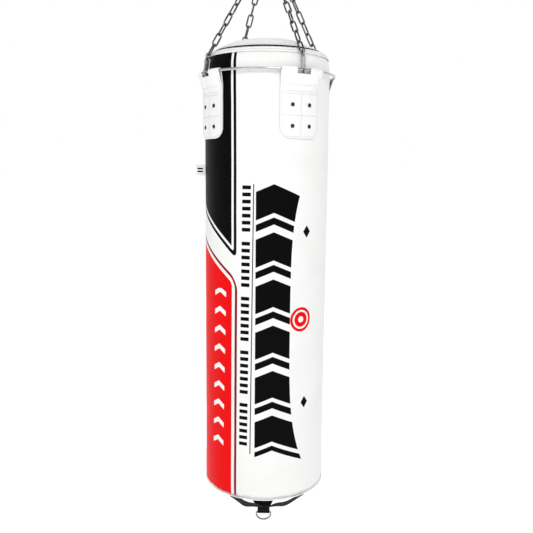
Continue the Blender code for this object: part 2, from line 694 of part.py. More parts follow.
def make_base_webbing(mats):
    straps = [strap_mesh(f"strap_{i}", azimuth, i * STRAP_WEB / 2)
              for i, azimuth in enumerate(STRAP_AZIMUTHS)]
    joined("base_straps", straps, mats["webbing"])

    top = strap_z(0.0) - STRAP_WEB * 1.5 - GAP
    bar_z = top - KEEPER_DROP + STRAP_WEB + GAP + D_RING_WIRE
    bend = D_RING_WIRE + GAP + STRAP_WEB / 2
    half = D_RING_WIDTH / 2 - D_RING_WIRE - 0.001
    line = [(-0.010, top - STRAP_WEB / 2), (-bend, top - STRAP_WEB / 2 - 0.006)]
    line += arc((0.0, bar_z), bend, 180, 360, 8)
    line += [(bend, top - STRAP_WEB / 2 - 0.006), (0.010, top - STRAP_WEB / 2)]
    bm = bmesh.new()
    rows = [(bm.verts.new((-half, y, z)), bm.verts.new((half, y, z))) for y, z in line]
    for a, b in zip(rows, rows[1:]):
        bm.faces.new((a[0], b[0], b[1], a[1]))
    mesh = bpy.data.meshes.new("ring_keeper")
    bm.to_mesh(mesh)
    bm.free()
    keeper = place("ring_keeper", mesh, mats["webbing"])
    solidify = keeper.modifiers.new("web", "SOLIDIFY")
    solidify.thickness = STRAP_WEB
    solidify.offset = 0.0

    w = D_RING_WIDTH / 2
    corner = 0.004
    path = arc((w - corner, -corner), corner, 90, 20, 3)
    path += [(w * math.cos(a), -0.006 - (D_RING_DEPTH - 0.006) * math.sin(a))
             for a in (math.pi * i / 12 for i in range(1, 12))]
    path += arc((-w + corner, -corner), corner, 160, 90, 3)
    d_ring = wire_mesh("d_ring", [(x, 0, z) for x, z in path], D_RING_WIRE, cyclic=True)
    place("d_ring", d_ring, mats["steel"], Matrix.Translation((0, 0, bar_z)))


# ---- the whole object ------------------------------------------------------------------------------
def clear_scene():
    for obj in list(bpy.data.objects):
        bpy.data.objects.remove(obj, do_unlink=True)


def make_collections():
    for name in (COLLECTION, CUTTERS):
        bpy.context.scene.collection.children.link(bpy.data.collections.new(name))


def make_materials():
    return {
        "vinyl": make_material("vinyl_white", (0.90, 0.90, 0.89), 0.38),
        "zip": make_material("zip_black", (0.02, 0.02, 0.02), 0.6),
        "steel": make_material("zinc_steel", (0.74, 0.74, 0.75), 0.25, 1.0),
        "brass": make_material("brass", (0.70, 0.52, 0.22), 0.35, 1.0),
        "foam": make_material("foam", (0.35, 0.37, 0.40), 0.9),
        "rag": make_material("rag_fill", (0.45, 0.42, 0.38), 0.95),
        "webbing": make_material("webbing_black", (0.015, 0.015, 0.016), 0.7),
        "label": make_material("label_white", (0.85, 0.85, 0.85), 0.6),
    }


def main():
    clear_scene()
    make_collections()
    mats = make_materials()
    drills = make_rivet_drills()
    make_bag(mats, drills)
    make_label(mats)
    make_zip_slider(mats)
    make_hoop(mats)
    make_tabs(mats, drills)
    make_rivets(mats)
    make_snap_hooks(mats)
    make_strands(mats)
    make_gather_ring(mats)
    make_swivel(mats)
    make_top_hook(mats)
    make_base_webbing(mats)


main()
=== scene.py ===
"""Looks of a hanging punch bag: skins, print, hardware, webbing, floor, lights and camera.

Metres, +Z up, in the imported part's frame: the origin is the hang point and the front is -Y.
An azimuth is the angle from the front (-Y) towards +X, in degrees.
"""
import math

import bpy
import numpy as np
from mathutils import Matrix, Vector, noise
from mathutils.bvhtree import BVHTree


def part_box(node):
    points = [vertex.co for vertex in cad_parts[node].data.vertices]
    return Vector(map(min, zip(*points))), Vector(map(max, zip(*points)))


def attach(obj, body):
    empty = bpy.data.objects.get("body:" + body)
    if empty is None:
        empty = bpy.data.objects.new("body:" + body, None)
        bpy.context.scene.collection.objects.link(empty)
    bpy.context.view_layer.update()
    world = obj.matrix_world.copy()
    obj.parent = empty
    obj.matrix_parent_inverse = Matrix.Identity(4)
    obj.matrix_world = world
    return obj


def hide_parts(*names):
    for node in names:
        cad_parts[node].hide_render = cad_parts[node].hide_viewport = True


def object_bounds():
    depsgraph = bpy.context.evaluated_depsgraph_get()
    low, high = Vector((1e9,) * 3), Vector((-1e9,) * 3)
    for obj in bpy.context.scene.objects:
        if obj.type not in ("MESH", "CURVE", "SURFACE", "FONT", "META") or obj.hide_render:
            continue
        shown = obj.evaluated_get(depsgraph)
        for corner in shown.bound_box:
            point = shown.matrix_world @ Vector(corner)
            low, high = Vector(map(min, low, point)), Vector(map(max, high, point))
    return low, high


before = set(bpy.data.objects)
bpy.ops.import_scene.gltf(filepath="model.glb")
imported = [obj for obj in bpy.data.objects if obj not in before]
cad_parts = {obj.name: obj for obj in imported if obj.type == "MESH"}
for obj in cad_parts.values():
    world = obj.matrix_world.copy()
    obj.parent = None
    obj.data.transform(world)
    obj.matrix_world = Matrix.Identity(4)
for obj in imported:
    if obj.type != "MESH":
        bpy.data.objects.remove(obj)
CAD_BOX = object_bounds()

# ---- places and sizes, from the frame's boxes and the part's driving dimensions ----------
shell_low, shell_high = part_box("bag_shell")
hoop_low, hoop_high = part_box("hoop_ring")
RADIUS = shell_high[0]
RIM_Z = shell_high[2]
SEAM_Z = shell_low[2]
HOOP_ROD = 0.0035
HOOP_RADIUS = hoop_high[0] - HOOP_ROD
HOOP_Z = (hoop_low[2] + hoop_high[2]) / 2
RING_WIRE = 0.00325
RING_RADIUS = 0.027
RING_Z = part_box("gather_ring")[0][2] + RING_WIRE + RING_RADIUS

GAP = 0.0003
VINYL = 0.001
SHOULDER_DROP = 0.042
RIM_RADIUS = 0.158
ZIP_OUTER = RIM_RADIUS - 2 * GAP
ZIP_WIDTH = 0.007
ZIP_TAPE = 0.0012
ZIP_INNER = ZIP_OUTER - ZIP_WIDTH
ZIP_RISE = 0.0084               # 2 mm more than the part's, so the black line shows
ZIP_SLOPE = math.atan2(ZIP_RISE, ZIP_WIDTH)
SLIDER_RISE = 0.0064            # the part's own rise, which the slider's joints follow
SLIDER_SLOPE = math.atan2(SLIDER_RISE, ZIP_WIDTH)
LID_EDGE = ZIP_INNER - ZIP_TAPE * math.sin(ZIP_SLOPE) - GAP
LID_Z = RIM_Z + ZIP_RISE
LID_RISE = 0.037
LID_POWER = 2.7
BASE_EDGE = 0.1737
BASE_DROP = 0.040
BASE_POWER = 2.2
HEM_HEIGHT = 0.012

HANGERS = (30.0, 120.0, 210.0, 300.0)
TAB_WIDTH = 0.118
TAB_DROP = 0.174
TAB_VINYL = 0.002
TAB_CORNER = 0.030
TAB_NOTCH = (0.038, 0.011)
TAB_INNER = 0.1767              # middle of the tab's two layers, from the bag's axis
TAB_OUTER = 0.1790
TAB_FOLD = 0.0056
TAB_CLOSES = 0.036
RIVET_SPACING = 0.0515
RIVET_ROWS = (0.088, 0.1425)
RIVET_FACE = 0.1803
RIVET_HEAD = 0.0055

SNAP_WIRE = 0.0025
SNAP_BEND = 0.0067
SNAP_LEG = 0.032
SNAP_EYE = 0.0056
SNAP_TILT = 8.0
SNAP_NOSE = 0.008
SNAP_STUB = 0.006
GATE_WIRE = 0.0020
CHAIN_WIRE = 0.00225
CHAIN_WIDTH = 0.018
CHAIN_PITCH = 0.032
CHAIN_PRESS = 0.0018
RING_AZIMUTH = 75.0
RING_SEATS = (14.0, 38.0)

EYE_RADIUS = 0.0085
EYE_WIRE = 0.003
HOOK_WIRE = 0.0035
HOOK_BEND = 0.013
HOOK_LENGTH = 0.063
HOOK_GATE_WIRE = 0.00275
HOOK_BOTTOM = HOOK_WIRE - HOOK_LENGTH
UPPER_EYE_Z = HOOK_BOTTOM + HOOK_WIRE + GAP + EYE_WIRE - EYE_RADIUS
SWIVEL_TOP = UPPER_EYE_Z - EYE_RADIUS - EYE_WIRE / 2
SWIVEL_BOTTOM = SWIVEL_TOP - 0.028
LOWER_EYE_Z = SWIVEL_BOTTOM - 0.0035 - EYE_WIRE - EYE_RADIUS

STRAP_WIDTH = 0.038
STRAP_WEB = 0.0016
STRAP_RIB = 0.00018
STRAP_DROP = 0.108
STRAP_POWER = 1.25
STRAP_AZIMUTHS = (-27.0, 35.0)
STRAP_ROLL = 23.0               # how far each strap turns on itself beside the crossing
KEEPER_DROP = 0.019
D_RING_WIRE = 0.0025
D_RING_WIDTH = 0.044
D_RING_DEPTH = 0.024
LABEL_AZIMUTH = -87.0
LABEL_SIZE = (0.024, 0.030)
LABEL_BELOW_RIM = 0.298
SLIDER_AZIMUTH = 165.0
SLIDER_LIFT = 0.0026

STITCH_LENGTH = 0.0036
STITCH_SPACE = 0.0014
STITCH_LIFT = 0.00035
THREAD = 0.00038
CLOTH_FRAMES = 16

UP = Vector((0.0, 0.0, 1.0))


# ---- geometry helpers --------------------------------------------------------------------
def radial(azimuth):
    a = math.radians(azimuth)
    return Vector((math.sin(a), -math.cos(a), 0.0))


def tangent(azimuth):
    a = math.radians(azimuth)
    return Vector((math.cos(a), math.sin(a), 0.0))


def frame_at(origin, x_axis, y_axis, z_axis):
    matrix = Matrix((x_axis, y_axis, z_axis)).transposed().to_4x4()
    matrix.translation = origin
    return matrix


def arc(centre, radius, start, end, steps):
    angles = [math.radians(start + (end - start) * i / steps) for i in range(steps + 1)]
    return [(centre[0] + radius * math.cos(a), centre[1] + radius * math.sin(a)) for a in angles]


def unit(v):
    return v / np.maximum(np.linalg.norm(v, axis=-1, keepdims=True), 1e-12)


def smooth_noise(x, y, z, size, seed=0.0):
    """Smooth noise from -1 to 1 with features of a given size."""
    return noise.noise(Vector((x / size + seed, y / size - seed, z / size + 2 * seed)))


class Mesh:
    """Vertices, faces and face UVs gathered from several shapes into one piece."""

    def __init__(self):
        self.verts, self.faces, self.uvs = [], [], []

    def add(self, verts, faces, uvs=None, matrix=None):
        start = len(self.verts)
        if matrix is not None:
            verts = [tuple(matrix @ Vector(v)) for v in verts]
        self.verts += [tuple(float(c) for c in v) for v in verts]
        self.faces += [tuple(i + start for i in face) for face in faces]
        self.uvs += uvs if uvs is not None else [[(0.0, 0.0)] * len(face) for face in faces]

    def build(self, name, body, material, replaces=(), sharp=None):
        mesh = bpy.data.meshes.new(name)
        mesh.from_pydata(self.verts, [], self.faces)
        layer = mesh.uv_layers.new(name="metres")
        layer.data.foreach_set("uv", [c for face in self.uvs for uv in face for c in uv])
        mesh.shade_smooth()
        if sharp is not None:
            mesh.set_sharp_from_angle(angle=math.radians(sharp))
        mesh.materials.append(material)
        mesh.update()
        obj = bpy.data.objects.new(name, mesh)
        bpy.context.scene.collection.objects.link(obj)
        if body is not None:
            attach(obj, body)
        if replaces:
            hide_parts(*replaces)
        return obj


def grid(rows, uv_rows=None, closed=False):
    """Quads over rows of points.  A closed grid joins each row's end to its start."""
    count = len(rows[0])
    verts = [p for row in rows for p in row]
    faces, uvs = [], []
    for i in range(len(rows) - 1):
        for j in range(count if closed else count - 1):
            k = (j + 1) % count
            a, b = i * count, (i + 1) * count
            faces.append((a + j, b + j, b + k, a + k))
            if uv_rows is not None:
                uvs.append([uv_rows[i][j], uv_rows[i + 1][j], uv_rows[i + 1][j + 1], uv_rows[i][j + 1]])
    return verts, faces, (uvs if uv_rows is not None else None)


def sweep(path, radius, closed=False, sides=14, round_ends=True):
    """Round tube along a path.  The radius is one number, or one for each point."""
    p = np.array([tuple(q) for q in path], float)
    r = np.full(len(p), radius, float) if np.isscalar(radius) else np.array(radius, float)
    if not closed:
        turns = np.radians([85.0, 60.0, 30.0]) if round_ends else np.radians([89.0])
        reach = 1.0 if round_ends else 0.0
        t0, t1 = unit(p[0] - p[1]), unit(p[-1] - p[-2])
        head = [p[0] + t0 * r[0] * math.sin(a) * reach for a in turns]
        tail = [p[-1] + t1 * r[-1] * math.sin(a) * reach for a in turns[::-1]]
        r = np.concatenate([r[0] * np.cos(turns), r, r[-1] * np.cos(turns[::-1])])
        p = np.vstack([head, p, tail])
    n = len(p)
    ahead, behind = np.roll(p, -1, 0) - p, p - np.roll(p, 1, 0)
    if not closed:
        ahead[-1], behind[0] = behind[-1], ahead[0]
        if not round_ends:
            behind[1], ahead[-2] = ahead[1], behind[-2]
            behind[0] = ahead[0] = ahead[1]
            ahead[-1] = behind[-1] = behind[-2]
    t = unit(unit(ahead) + unit(behind))
    side = np.cross(t[0], (0.0, 0.0, 1.0) if abs(t[0][2]) < 0.9 else (1.0, 0.0, 0.0))
    normals = []
    for i in range(n):
        side = unit(side - t[i] * np.dot(side, t[i]))
        normals.append(side)
    normals = np.array(normals)
    if closed:
        last = unit(normals[-1] - t[0] * np.dot(normals[-1], t[0]))
        lag = math.atan2(np.dot(np.cross(last, normals[0]), t[0]), np.dot(last, normals[0]))
    else:
        lag = 0.0
    verts = []
    for i in range(n):
        other = np.cross(t[i], normals[i])
        for k in range(sides):
            a = 2 * math.pi * k / sides + lag * i / n
            verts.append(p[i] + r[i] * (math.cos(a) * normals[i] + math.sin(a) * other))
    faces = []
    for i in range(n if closed else n - 1):
        a, b = i * sides, ((i + 1) % n) * sides
        faces += [(a + k, a + (k + 1) % sides, b + (k + 1) % sides, b + k) for k in range(sides)]
    if not closed:
        faces.append(tuple(range(sides))[::-1])
        faces.append(tuple((n - 1) * sides + k for k in range(sides)))
    return verts, faces


def lathe(outline, steps=48):
    """Outline of (radius, height) points turned about Z, running down its outer side."""
    verts, faces, rings = [], [], []
    for r, z in outline:
        if r < 1e-7:
            rings.append([len(verts)])
            verts.append((0.0, 0.0, z))
        else:
            rings.append(list(range(len(verts), len(verts) + steps)))
            verts += [(r * math.cos(2 * math.pi * k / steps), r * math.sin(2 * math.pi * k / steps), z)
                      for k in range(steps)]
    for a, b in zip(rings, rings[1:]):
        for k in range(steps):
            m = (k + 1) % steps
            if len(a) == 1 and len(b) > 1:
                faces.append((a[0], b[k], b[m]))
            elif len(b) == 1 and len(a) > 1:
                faces.append((a[k], b[0], a[m]))
            elif len(a) > 1:
                faces.append((a[k], b[k], b[m], a[m]))
    return verts, faces


def resample(points, spacing):
    """Points at even spacing along a polyline."""
    p = np.array([tuple(q) for q in points], float)
    along = np.concatenate([[0.0], np.cumsum(np.linalg.norm(np.diff(p, axis=0), axis=1))])
    count = max(2, round(along[-1] / spacing) + 1)
    where = np.linspace(0.0, along[-1], count)
    return np.stack([np.interp(where, along, p[:, k]) for k in range(p.shape[1])], 1)


def relaxed(p, passes):
    """A polyline with its corners eased, its ends kept."""
    p = p.copy()
    for _ in range(passes):
        p[1:-1] = p[1:-1] * 0.5 + (p[:-2] + p[2:]) * 0.25
    return p


def solidify(obj, thickness):
    """Thickness to both sides of a sheet, with eased edges."""
    modifier = obj.modifiers.new("thickness", "SOLIDIFY")
    modifier.thickness = thickness
    modifier.offset = 0.0
    bevel = obj.modifiers.new("edge", "BEVEL")
    bevel.width = thickness * 0.3
    bevel.segments = 2
    bevel.limit_method = "ANGLE"
    bevel.angle_limit = math.radians(50.0)


def inflate(obj, pinned, pressure, limit):
    """Blow a skin up as cloth and apply it: pinned vertices stay, and no point goes past a limit."""
    mesh = obj.data
    before = np.zeros(len(mesh.vertices) * 3)
    mesh.vertices.foreach_get("co", before)
    before = before.reshape(-1, 3)
    group = obj.vertex_groups.new(name="pinned")
    group.add(pinned, 1.0, "REPLACE")
    cloth = obj.modifiers.new("cloth", "CLOTH")
    for setting, value in {"quality": 6, "mass": 0.35, "tension_stiffness": 30.0,
                           "compression_stiffness": 30.0, "shear_stiffness": 12.0, "bending_stiffness": 1.5,
                           "use_pressure": True, "uniform_pressure_force": pressure,
                           "vertex_group_mass": "pinned"}.items():
        setattr(cloth.settings, setting, value)
    cloth.settings.effector_weights.gravity = 0.0
    cloth.collision_settings.use_collision = False
    cloth.point_cache.frame_start = 1
    cloth.point_cache.frame_end = CLOTH_FRAMES
    for step in range(1, CLOTH_FRAMES + 1):
        bpy.context.scene.frame_set(step)
    graph = bpy.context.evaluated_depsgraph_get()
    after = np.zeros(len(mesh.vertices) * 3)
    obj.evaluated_get(graph).data.vertices.foreach_get("co", after)
    move = after.reshape(-1, 3) - before
    length = np.linalg.norm(move, axis=1, keepdims=True)
    move *= np.minimum(1.0, limit / np.maximum(length, 1e-9))
    obj.modifiers.remove(cloth)
    bpy.context.scene.frame_set(1)
    mesh.vertices.foreach_set("co", (before + move).ravel())
    mesh.update()


def pad(obj, node):
    smooth = obj.modifiers.new("subdivision", "SUBSURF")
    smooth.levels = smooth.render_levels = 1
    solid = obj.modifiers.new("vinyl", "SOLIDIFY")
    solid.thickness = VINYL
    solid.offset = -1.0
    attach(obj, "bag")
    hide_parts(node)


def displace(obj, change):
    """Move each vertex by change(co), a Vector."""
    for v in obj.data.vertices:
        v.co += change(v.co)
    obj.data.update()


# ---- material helpers --------------------------------------------------------------------
class Field:
    """A value in a material's node tree.  Arithmetic on it, set up below the class, adds Math nodes."""

    def __init__(self, tree, socket):
        self.tree, self.socket = tree, socket

    def op(self, kind, *others, clamp=False):
        node = self.tree.nodes.new("ShaderNodeMath")
        node.operation = kind
        node.use_clamp = clamp
        for i, value in enumerate((self, *others)):
            if isinstance(value, Field):
                self.tree.links.new(value.socket, node.inputs[i])
            else:
                node.inputs[i].default_value = value
        return Field(self.tree, node.outputs[0])

    def __neg__(self):
        return self.op("MULTIPLY", -1.0)

    def inside(self, soft=0.0005):
        """1 where the distance is negative, 0 where it is positive, with a soft step between."""
        return (self * (-1.0 / soft)).op("ADD", 0.5, clamp=True)

    def near(self, centre, half):
        """1 within a half width of a centre line, 0 beyond it."""
        return ((self - centre).abs() - half).inside()


for method, kind in {"__add__": "ADD", "__sub__": "SUBTRACT", "__mul__": "MULTIPLY", "__truediv__": "DIVIDE",
                     "most": "MAXIMUM", "least": "MINIMUM", "abs": "ABSOLUTE", "root": "SQRT",
                     "fract": "FRACT"}.items():
    setattr(Field, method, lambda self, *others, kind=kind: self.op(kind, *others))


class Finish:
    """A Principled material being put together from procedural nodes."""

    def __init__(self, name, colour, roughness, metallic=0.0, **sockets):
        self.material = bpy.data.materials.new(name)
        self.material.use_nodes = True
        self.tree = self.material.node_tree
        self.shader = self.tree.nodes["Principled BSDF"]
        self.shader.inputs["Base Color"].default_value = (*colour, 1.0)
        self.shader.inputs["Roughness"].default_value = roughness
        self.shader.inputs["Metallic"].default_value = metallic
        for socket, value in sockets.items():
            self.shader.inputs[socket.replace("_", " ")].default_value = value
        self.material.diffuse_color = (*colour, 1.0)

    def node(self, kind, **inputs):
        """A new node, its inputs set to values or joined to sockets."""
        node = self.tree.nodes.new("ShaderNode" + kind)
        for name, value in inputs.items():
            if isinstance(value, bpy.types.NodeSocket):
                self.tree.links.new(value, node.inputs[name])
            else:
                node.inputs[name].default_value = value
        return node

    def coords(self, kind="Object"):
        return self.node("TexCoord").outputs[kind]

    def flat(self):
        """The surface's own u and v, in metres."""
        node = self.node("SeparateXYZ", Vector=self.coords("UV"))
        return [Field(self.tree, node.outputs[i]) for i in range(2)]

    def noise(self, scale, detail=2.0, kind="Object", stretch=(1.0, 1.0, 1.0)):
        vector = self.node("Mapping", Scale=stretch, Vector=self.coords(kind)).outputs[0]
        return Field(self.tree, self.node("TexNoise", Scale=scale, Detail=detail, Vector=vector).outputs[0])

    def cells(self, scale, kind="Object"):
        node = self.node("TexVoronoi", Scale=scale, Vector=self.coords(kind))
        return Field(self.tree, node.outputs["Distance"])

    def paint(self, mask, colour):
        """Mix a colour over what is there, where the mask is 1."""
        node = self.node("Mix")
        node.data_type = "RGBA"
        self.tree.links.new(mask.socket, node.inputs[0])
        socket = self.shader.inputs["Base Color"]
        if socket.links:
            self.tree.links.new(socket.links[0].from_socket, node.inputs[6])
        else:
            node.inputs[6].default_value = socket.default_value
        node.inputs[7].default_value = (*colour, 1.0)
        self.tree.links.new(node.outputs[2], socket)

    def rough(self, value):
        self.tree.links.new(value.op("MAXIMUM", 0.02, clamp=True).socket, self.shader.inputs["Roughness"])

    def bump(self, height, distance, strength=1.0):
        node = self.node("Bump", Strength=strength, Distance=distance, Height=height.socket)
        links = self.shader.inputs["Normal"].links
        if links:
            self.tree.links.new(links[0].from_socket, node.inputs["Normal"])
        self.tree.links.new(node.outputs["Normal"], self.shader.inputs["Normal"])


WHITE = (0.83, 0.83, 0.82)
INK = (0.002, 0.002, 0.0025)
RED = (0.78, 0.004, 0.005)
DARK_RED = (0.25, 0.006, 0.010)


GRAIN_SIZE = 0.0016
GRAIN_DEPTH = 0.00012


def vinyl(name, colour=WHITE, kind="Object", roughness=0.36, coat=0.06, gloss=0.25):
    """Coated vinyl with a fine pressed leather grain and soft unevenness under it."""
    f = Finish(name, colour, roughness, Coat_Weight=coat, Coat_Roughness=0.3,
               Specular_IOR_Level=gloss)
    darker = tuple(c * 0.93 for c in colour)
    f.paint((f.noise(9.0, 4.0, kind) - 0.48) * 2.2, darker)
    f.rough(f.noise(60.0, 3.0, kind) * 0.16 + (roughness - 0.08))
    f.bump(f.cells(1.0 / GRAIN_SIZE, kind), GRAIN_DEPTH, 0.55)
    f.bump(f.noise(24.0, 3.0, kind), 0.0015, 0.5)
    return f


def print_on(f):
    """The bag's print, from distances in metres on the flat panel: u round it, v below the rim."""
    u, v = f.flat()
    below_hem = (v + 0.011).inside()
    above_seam = (-v - 1.222).inside()
    side_line = -RADIUS * math.pi / 2
    s = (u - side_line).abs()               # the two side panels mirror about the left side

    def corner(a, b, r):
        """Distance to a corner region that is inside where a and b are both negative."""
        a, b = a + r, b + r
        p, q = a.most(0.0), b.most(0.0)
        return (p * p + q * q).root() + a.most(b).least(0.0) - r

    def slanted(level, reach, slope, curve):
        """Distance below a slanted edge that bends a little."""
        run = s - reach
        line = run * (-slope) - run * run * curve + level
        steep = run * (2 * curve) + slope
        return (line - v) / (steep * steep + 1.0).root()

    black = corner(s + v * 0.00452 - 0.17545, slanted(-0.508, 0.171, 0.87, 1.154), 0.0)
    red = corner(s - v * 0.0033 - 0.181, -slanted(-0.614, 0.179, 0.80, 0.90), 0.008)
    f.paint(black.inside() * below_hem, INK)
    f.paint(black.near(0.01125, 0.00425) * below_hem, INK)
    f.paint(red.inside() * above_seam, RED)
    f.paint(red.near(0.01325, 0.00375) * above_seam, DARK_RED)

    # chevrons down the red panel, on its front half
    x = (u + 0.138 - (v + 0.63) * 0.025).abs()
    chevron = (((-v - 0.63) - x * 0.55) / 0.0535).fract() - 0.26
    run = (v + 0.87).near(0.0, 0.236)
    f.paint(chevron.inside(0.02) * x.near(0.0, 0.0225) * run, WHITE)

    # thin line and the column of ticks beside it
    drop = -v - 0.348
    length = (drop - 0.372).abs() - 0.372
    line = ((u + 0.033 + drop * 0.0089).abs() - 0.0014).most(length)
    f.paint(line.inside(), INK)
    tick = ((drop / 0.0186).fract() - 0.5).abs() - 0.27
    word = ((drop / 0.1488).fract() - 0.44).abs() - 0.44
    x = (u + 0.0525 + drop * 0.0108).abs() - 0.0120
    f.paint(tick.inside(0.03) * word.inside(0.004) * x.inside() * length.inside(), INK)

    # the large column of heavy chevrons, a little wider towards both ends
    t = (v + 0.724) / 0.376
    right = t * t * t * t * 0.036 + 0.070
    across = (u - right).most(-(u + 0.027))
    fall = (u - 0.0215).abs() * -0.42 + drop
    ends = (fall - 0.366).abs() - 0.366
    block = (fall / 0.1261).fract()
    heavy = ((block - 0.30).abs() - 0.30).inside(0.006)
    light = ((block - 0.765).abs() - 0.075).inside(0.006)
    f.paint(across.inside() * ends.inside() * heavy.most(light), INK)
    for level in (-0.475, -0.952):
        diamond = (u - 0.1205).abs() * 0.85 + (v - level).abs() * 0.62 - 0.0105
        f.paint(diamond.inside(), INK)

    # plain roundel
    p, q = u - 0.1045, v + 0.715
    away = (p * p + q * q).root()
    f.paint((away - 0.034).inside(), RED)
    f.paint(away.near(0.0235, 0.0026), WHITE)
    f.paint((away - 0.0085).inside(), WHITE)


def steel(name, colour=(0.38, 0.385, 0.395), roughness=0.24, spots=70.0, wear=0.6):
    """Bright plated steel with duller patches and fine draw marks."""
    f = Finish(name, colour, roughness, 1.0)
    f.paint((f.noise(spots, 4.0) - 0.52) * (4.0 * wear), tuple(c * 0.55 for c in colour))
    f.rough(f.noise(spots * 2.2, 3.0) * 0.30 + (roughness - 0.12))
    f.bump(f.noise(900.0, 2.0), 0.00006, 0.5)
    f.bump(f.noise(140.0, 2.0), 0.0002, 0.35)
    return f.material


def woven(name, colour, pitch, roughness=0.75, rib=0.0006, bars=()):
    """Webbing or tape: yarns run both ways, with fuzz and uneven dye, and printed bars if asked for."""
    f = Finish(name, colour, roughness, Sheen_Weight=0.02, Specular_IOR_Level=0.06)
    u, v = f.flat()
    a = (u * (math.pi / pitch)).op("SINE")
    b = (v * (math.pi / pitch)).op("SINE")
    weave = a * b
    f.paint((weave * 0.5 + 0.5) * 0.55, tuple(min(1.0, c * 1.9 + 0.003) for c in colour))
    f.paint((f.noise(40.0, 3.0) - 0.5) * 1.6, tuple(c * 0.6 for c in colour))
    for level in bars:
        f.paint(v.near(level, 0.0022) * u.near(LABEL_SIZE[0] * 0.55, 0.0075), INK)
    f.bump(weave.abs(), rib, 0.8)
    f.bump(f.noise(1500.0, 2.0), 0.0001, 0.4)
    return f.material


def make_materials():
    m = {}
    shell = vinyl("printed_vinyl", kind="UV", roughness=0.40, coat=0.0, gloss=0.035)
    print_on(shell)
    m["shell"] = shell.material
    m["hem"] = vinyl("hem_vinyl").material
    m["lid"] = vinyl("lid_vinyl", (0.80, 0.80, 0.79), roughness=0.42).material
    # the base panel is a greyer copy of the white vinyl: painted shade for the bag's underside
    m["base"] = vinyl("base_vinyl", (0.70, 0.70, 0.695), roughness=0.48).material
    m["tab"] = vinyl("tab_vinyl", (0.84, 0.84, 0.83), roughness=0.34).material
    m["steel"] = steel("fitting_steel", (0.30, 0.303, 0.31), 0.20)
    m["chain"] = steel("chain_steel", (0.14, 0.141, 0.146), 0.16, 90.0, 1.0)
    m["hoop"] = steel("hoop_steel", (0.52, 0.525, 0.53), 0.22, 40.0, 0.4)
    m["rivet"] = steel("rivet_steel", (0.045, 0.045, 0.047), 0.12, 300.0, 0.4)
    m["zip_metal"] = steel("zip_metal", (0.30, 0.30, 0.31), 0.3, 260.0)
    m["brass"] = steel("washer_brass", (0.55, 0.38, 0.15), 0.34, 200.0)
    m["web"] = woven("webbing_black", (0.004, 0.004, 0.0043), 0.0019)
    m["zip"] = woven("zip_tape", (0.004, 0.004, 0.0045), 0.0009, rib=0.0003)
    m["label"] = woven("label_satin", (0.80, 0.80, 0.80), 0.0006, 0.5, 0.0001, (0.011, 0.019))
    teeth = Finish("zip_teeth", (0.006, 0.006, 0.0065), 0.4, Specular_IOR_Level=0.12)
    teeth.paint((teeth.noise(300.0) - 0.5) * 1.5, (0.014, 0.014, 0.015))
    teeth.bump(teeth.noise(1200.0), 0.00005)
    m["teeth"] = teeth.material
    thread = Finish("thread_white", (0.60, 0.60, 0.59), 0.6, Sheen_Weight=0.2)
    u, v = thread.flat()
    twist = ((u + v) * 3000.0).op("SINE")
    thread.paint(twist * 0.25 + 0.25, (0.42, 0.42, 0.41))
    thread.bump(twist, 0.0001, 0.6)
    m["thread"] = thread.material
    black_thread = Finish("thread_black", (0.02, 0.02, 0.022), 0.6, Sheen_Weight=0.2)
    black_thread.paint((black_thread.noise(900.0) - 0.4) * 1.5, (0.05, 0.05, 0.055))
    black_thread.bump(black_thread.noise(2500.0), 0.0001)
    m["black_thread"] = black_thread.material
    foam = Finish("foam_grey", (0.32, 0.34, 0.37), 0.92)
    foam.paint((foam.noise(220.0, 4.0) - 0.45) * 2.0, (0.22, 0.235, 0.26))
    foam.bump(foam.cells(260.0), 0.0012)
    m["foam"] = foam.material
    rag = Finish("rag_fill", (0.42, 0.39, 0.35), 0.95, Sheen_Weight=0.3)
    rag.paint((rag.noise(30.0, 5.0) - 0.4) * 2.4, (0.16, 0.20, 0.27))
    rag.paint((rag.noise(18.0, 3.0, stretch=(1.0, 1.6, 2.2)) - 0.55) * 5.0, (0.38, 0.14, 0.12))
    rag.bump(rag.noise(130.0, 4.0), 0.003)
    m["rag"] = rag.material
    return m


MATS = make_materials()


# ---- stitches ----------------------------------------------------------------------------
def add_stitches(mesh, line):
    """Short threads along a polyline of (point, outward normal) pairs."""
    points = np.array([tuple(p) for p, _ in line])
    normals = np.array([tuple(n) for _, n in line])
    along = np.concatenate([[0.0], np.cumsum(np.linalg.norm(np.diff(points, axis=0), axis=1))])
    count = int(along[-1] / (STITCH_LENGTH + STITCH_SPACE))
    for i in range(count):
        start = i * (STITCH_LENGTH + STITCH_SPACE)
        path = []
        for f, rise in ((0.0, -0.6), (0.2, 0.7), (0.5, 1.0), (0.8, 0.7), (1.0, -0.6)):
            at = start + STITCH_LENGTH * f
            p = np.array([np.interp(at, along, points[:, k]) for k in range(3)])
            n = np.array([np.interp(at, along, normals[:, k]) for k in range(3)])
            path.append(p + unit(n) * STITCH_LIFT * rise)
        verts, faces = sweep(path, THREAD, sides=5, round_ends=False)
        mesh.add(verts, faces, [[(start, 0.0)] * len(face) for face in faces])


def ring_line(radius, z):
    """A level ring round the bag, as (point, outward normal) pairs."""
    steps = 240
    out = [radial(360.0 * i / steps) for i in range(steps + 1)]
    return [(p * radius + UP * z, p) for p in out]


# ---- shell, hem, lid and base ------------------------------------------------------------
def shoulder(t, offset=0.0):
    a = math.radians(90.0 * t)
    r = RIM_RADIUS + (RADIUS - RIM_RADIUS) * math.sin(a) + offset * math.sin(a)
    return r, RIM_Z - SHOULDER_DROP * (1.0 - math.cos(a)) + offset * math.cos(a)


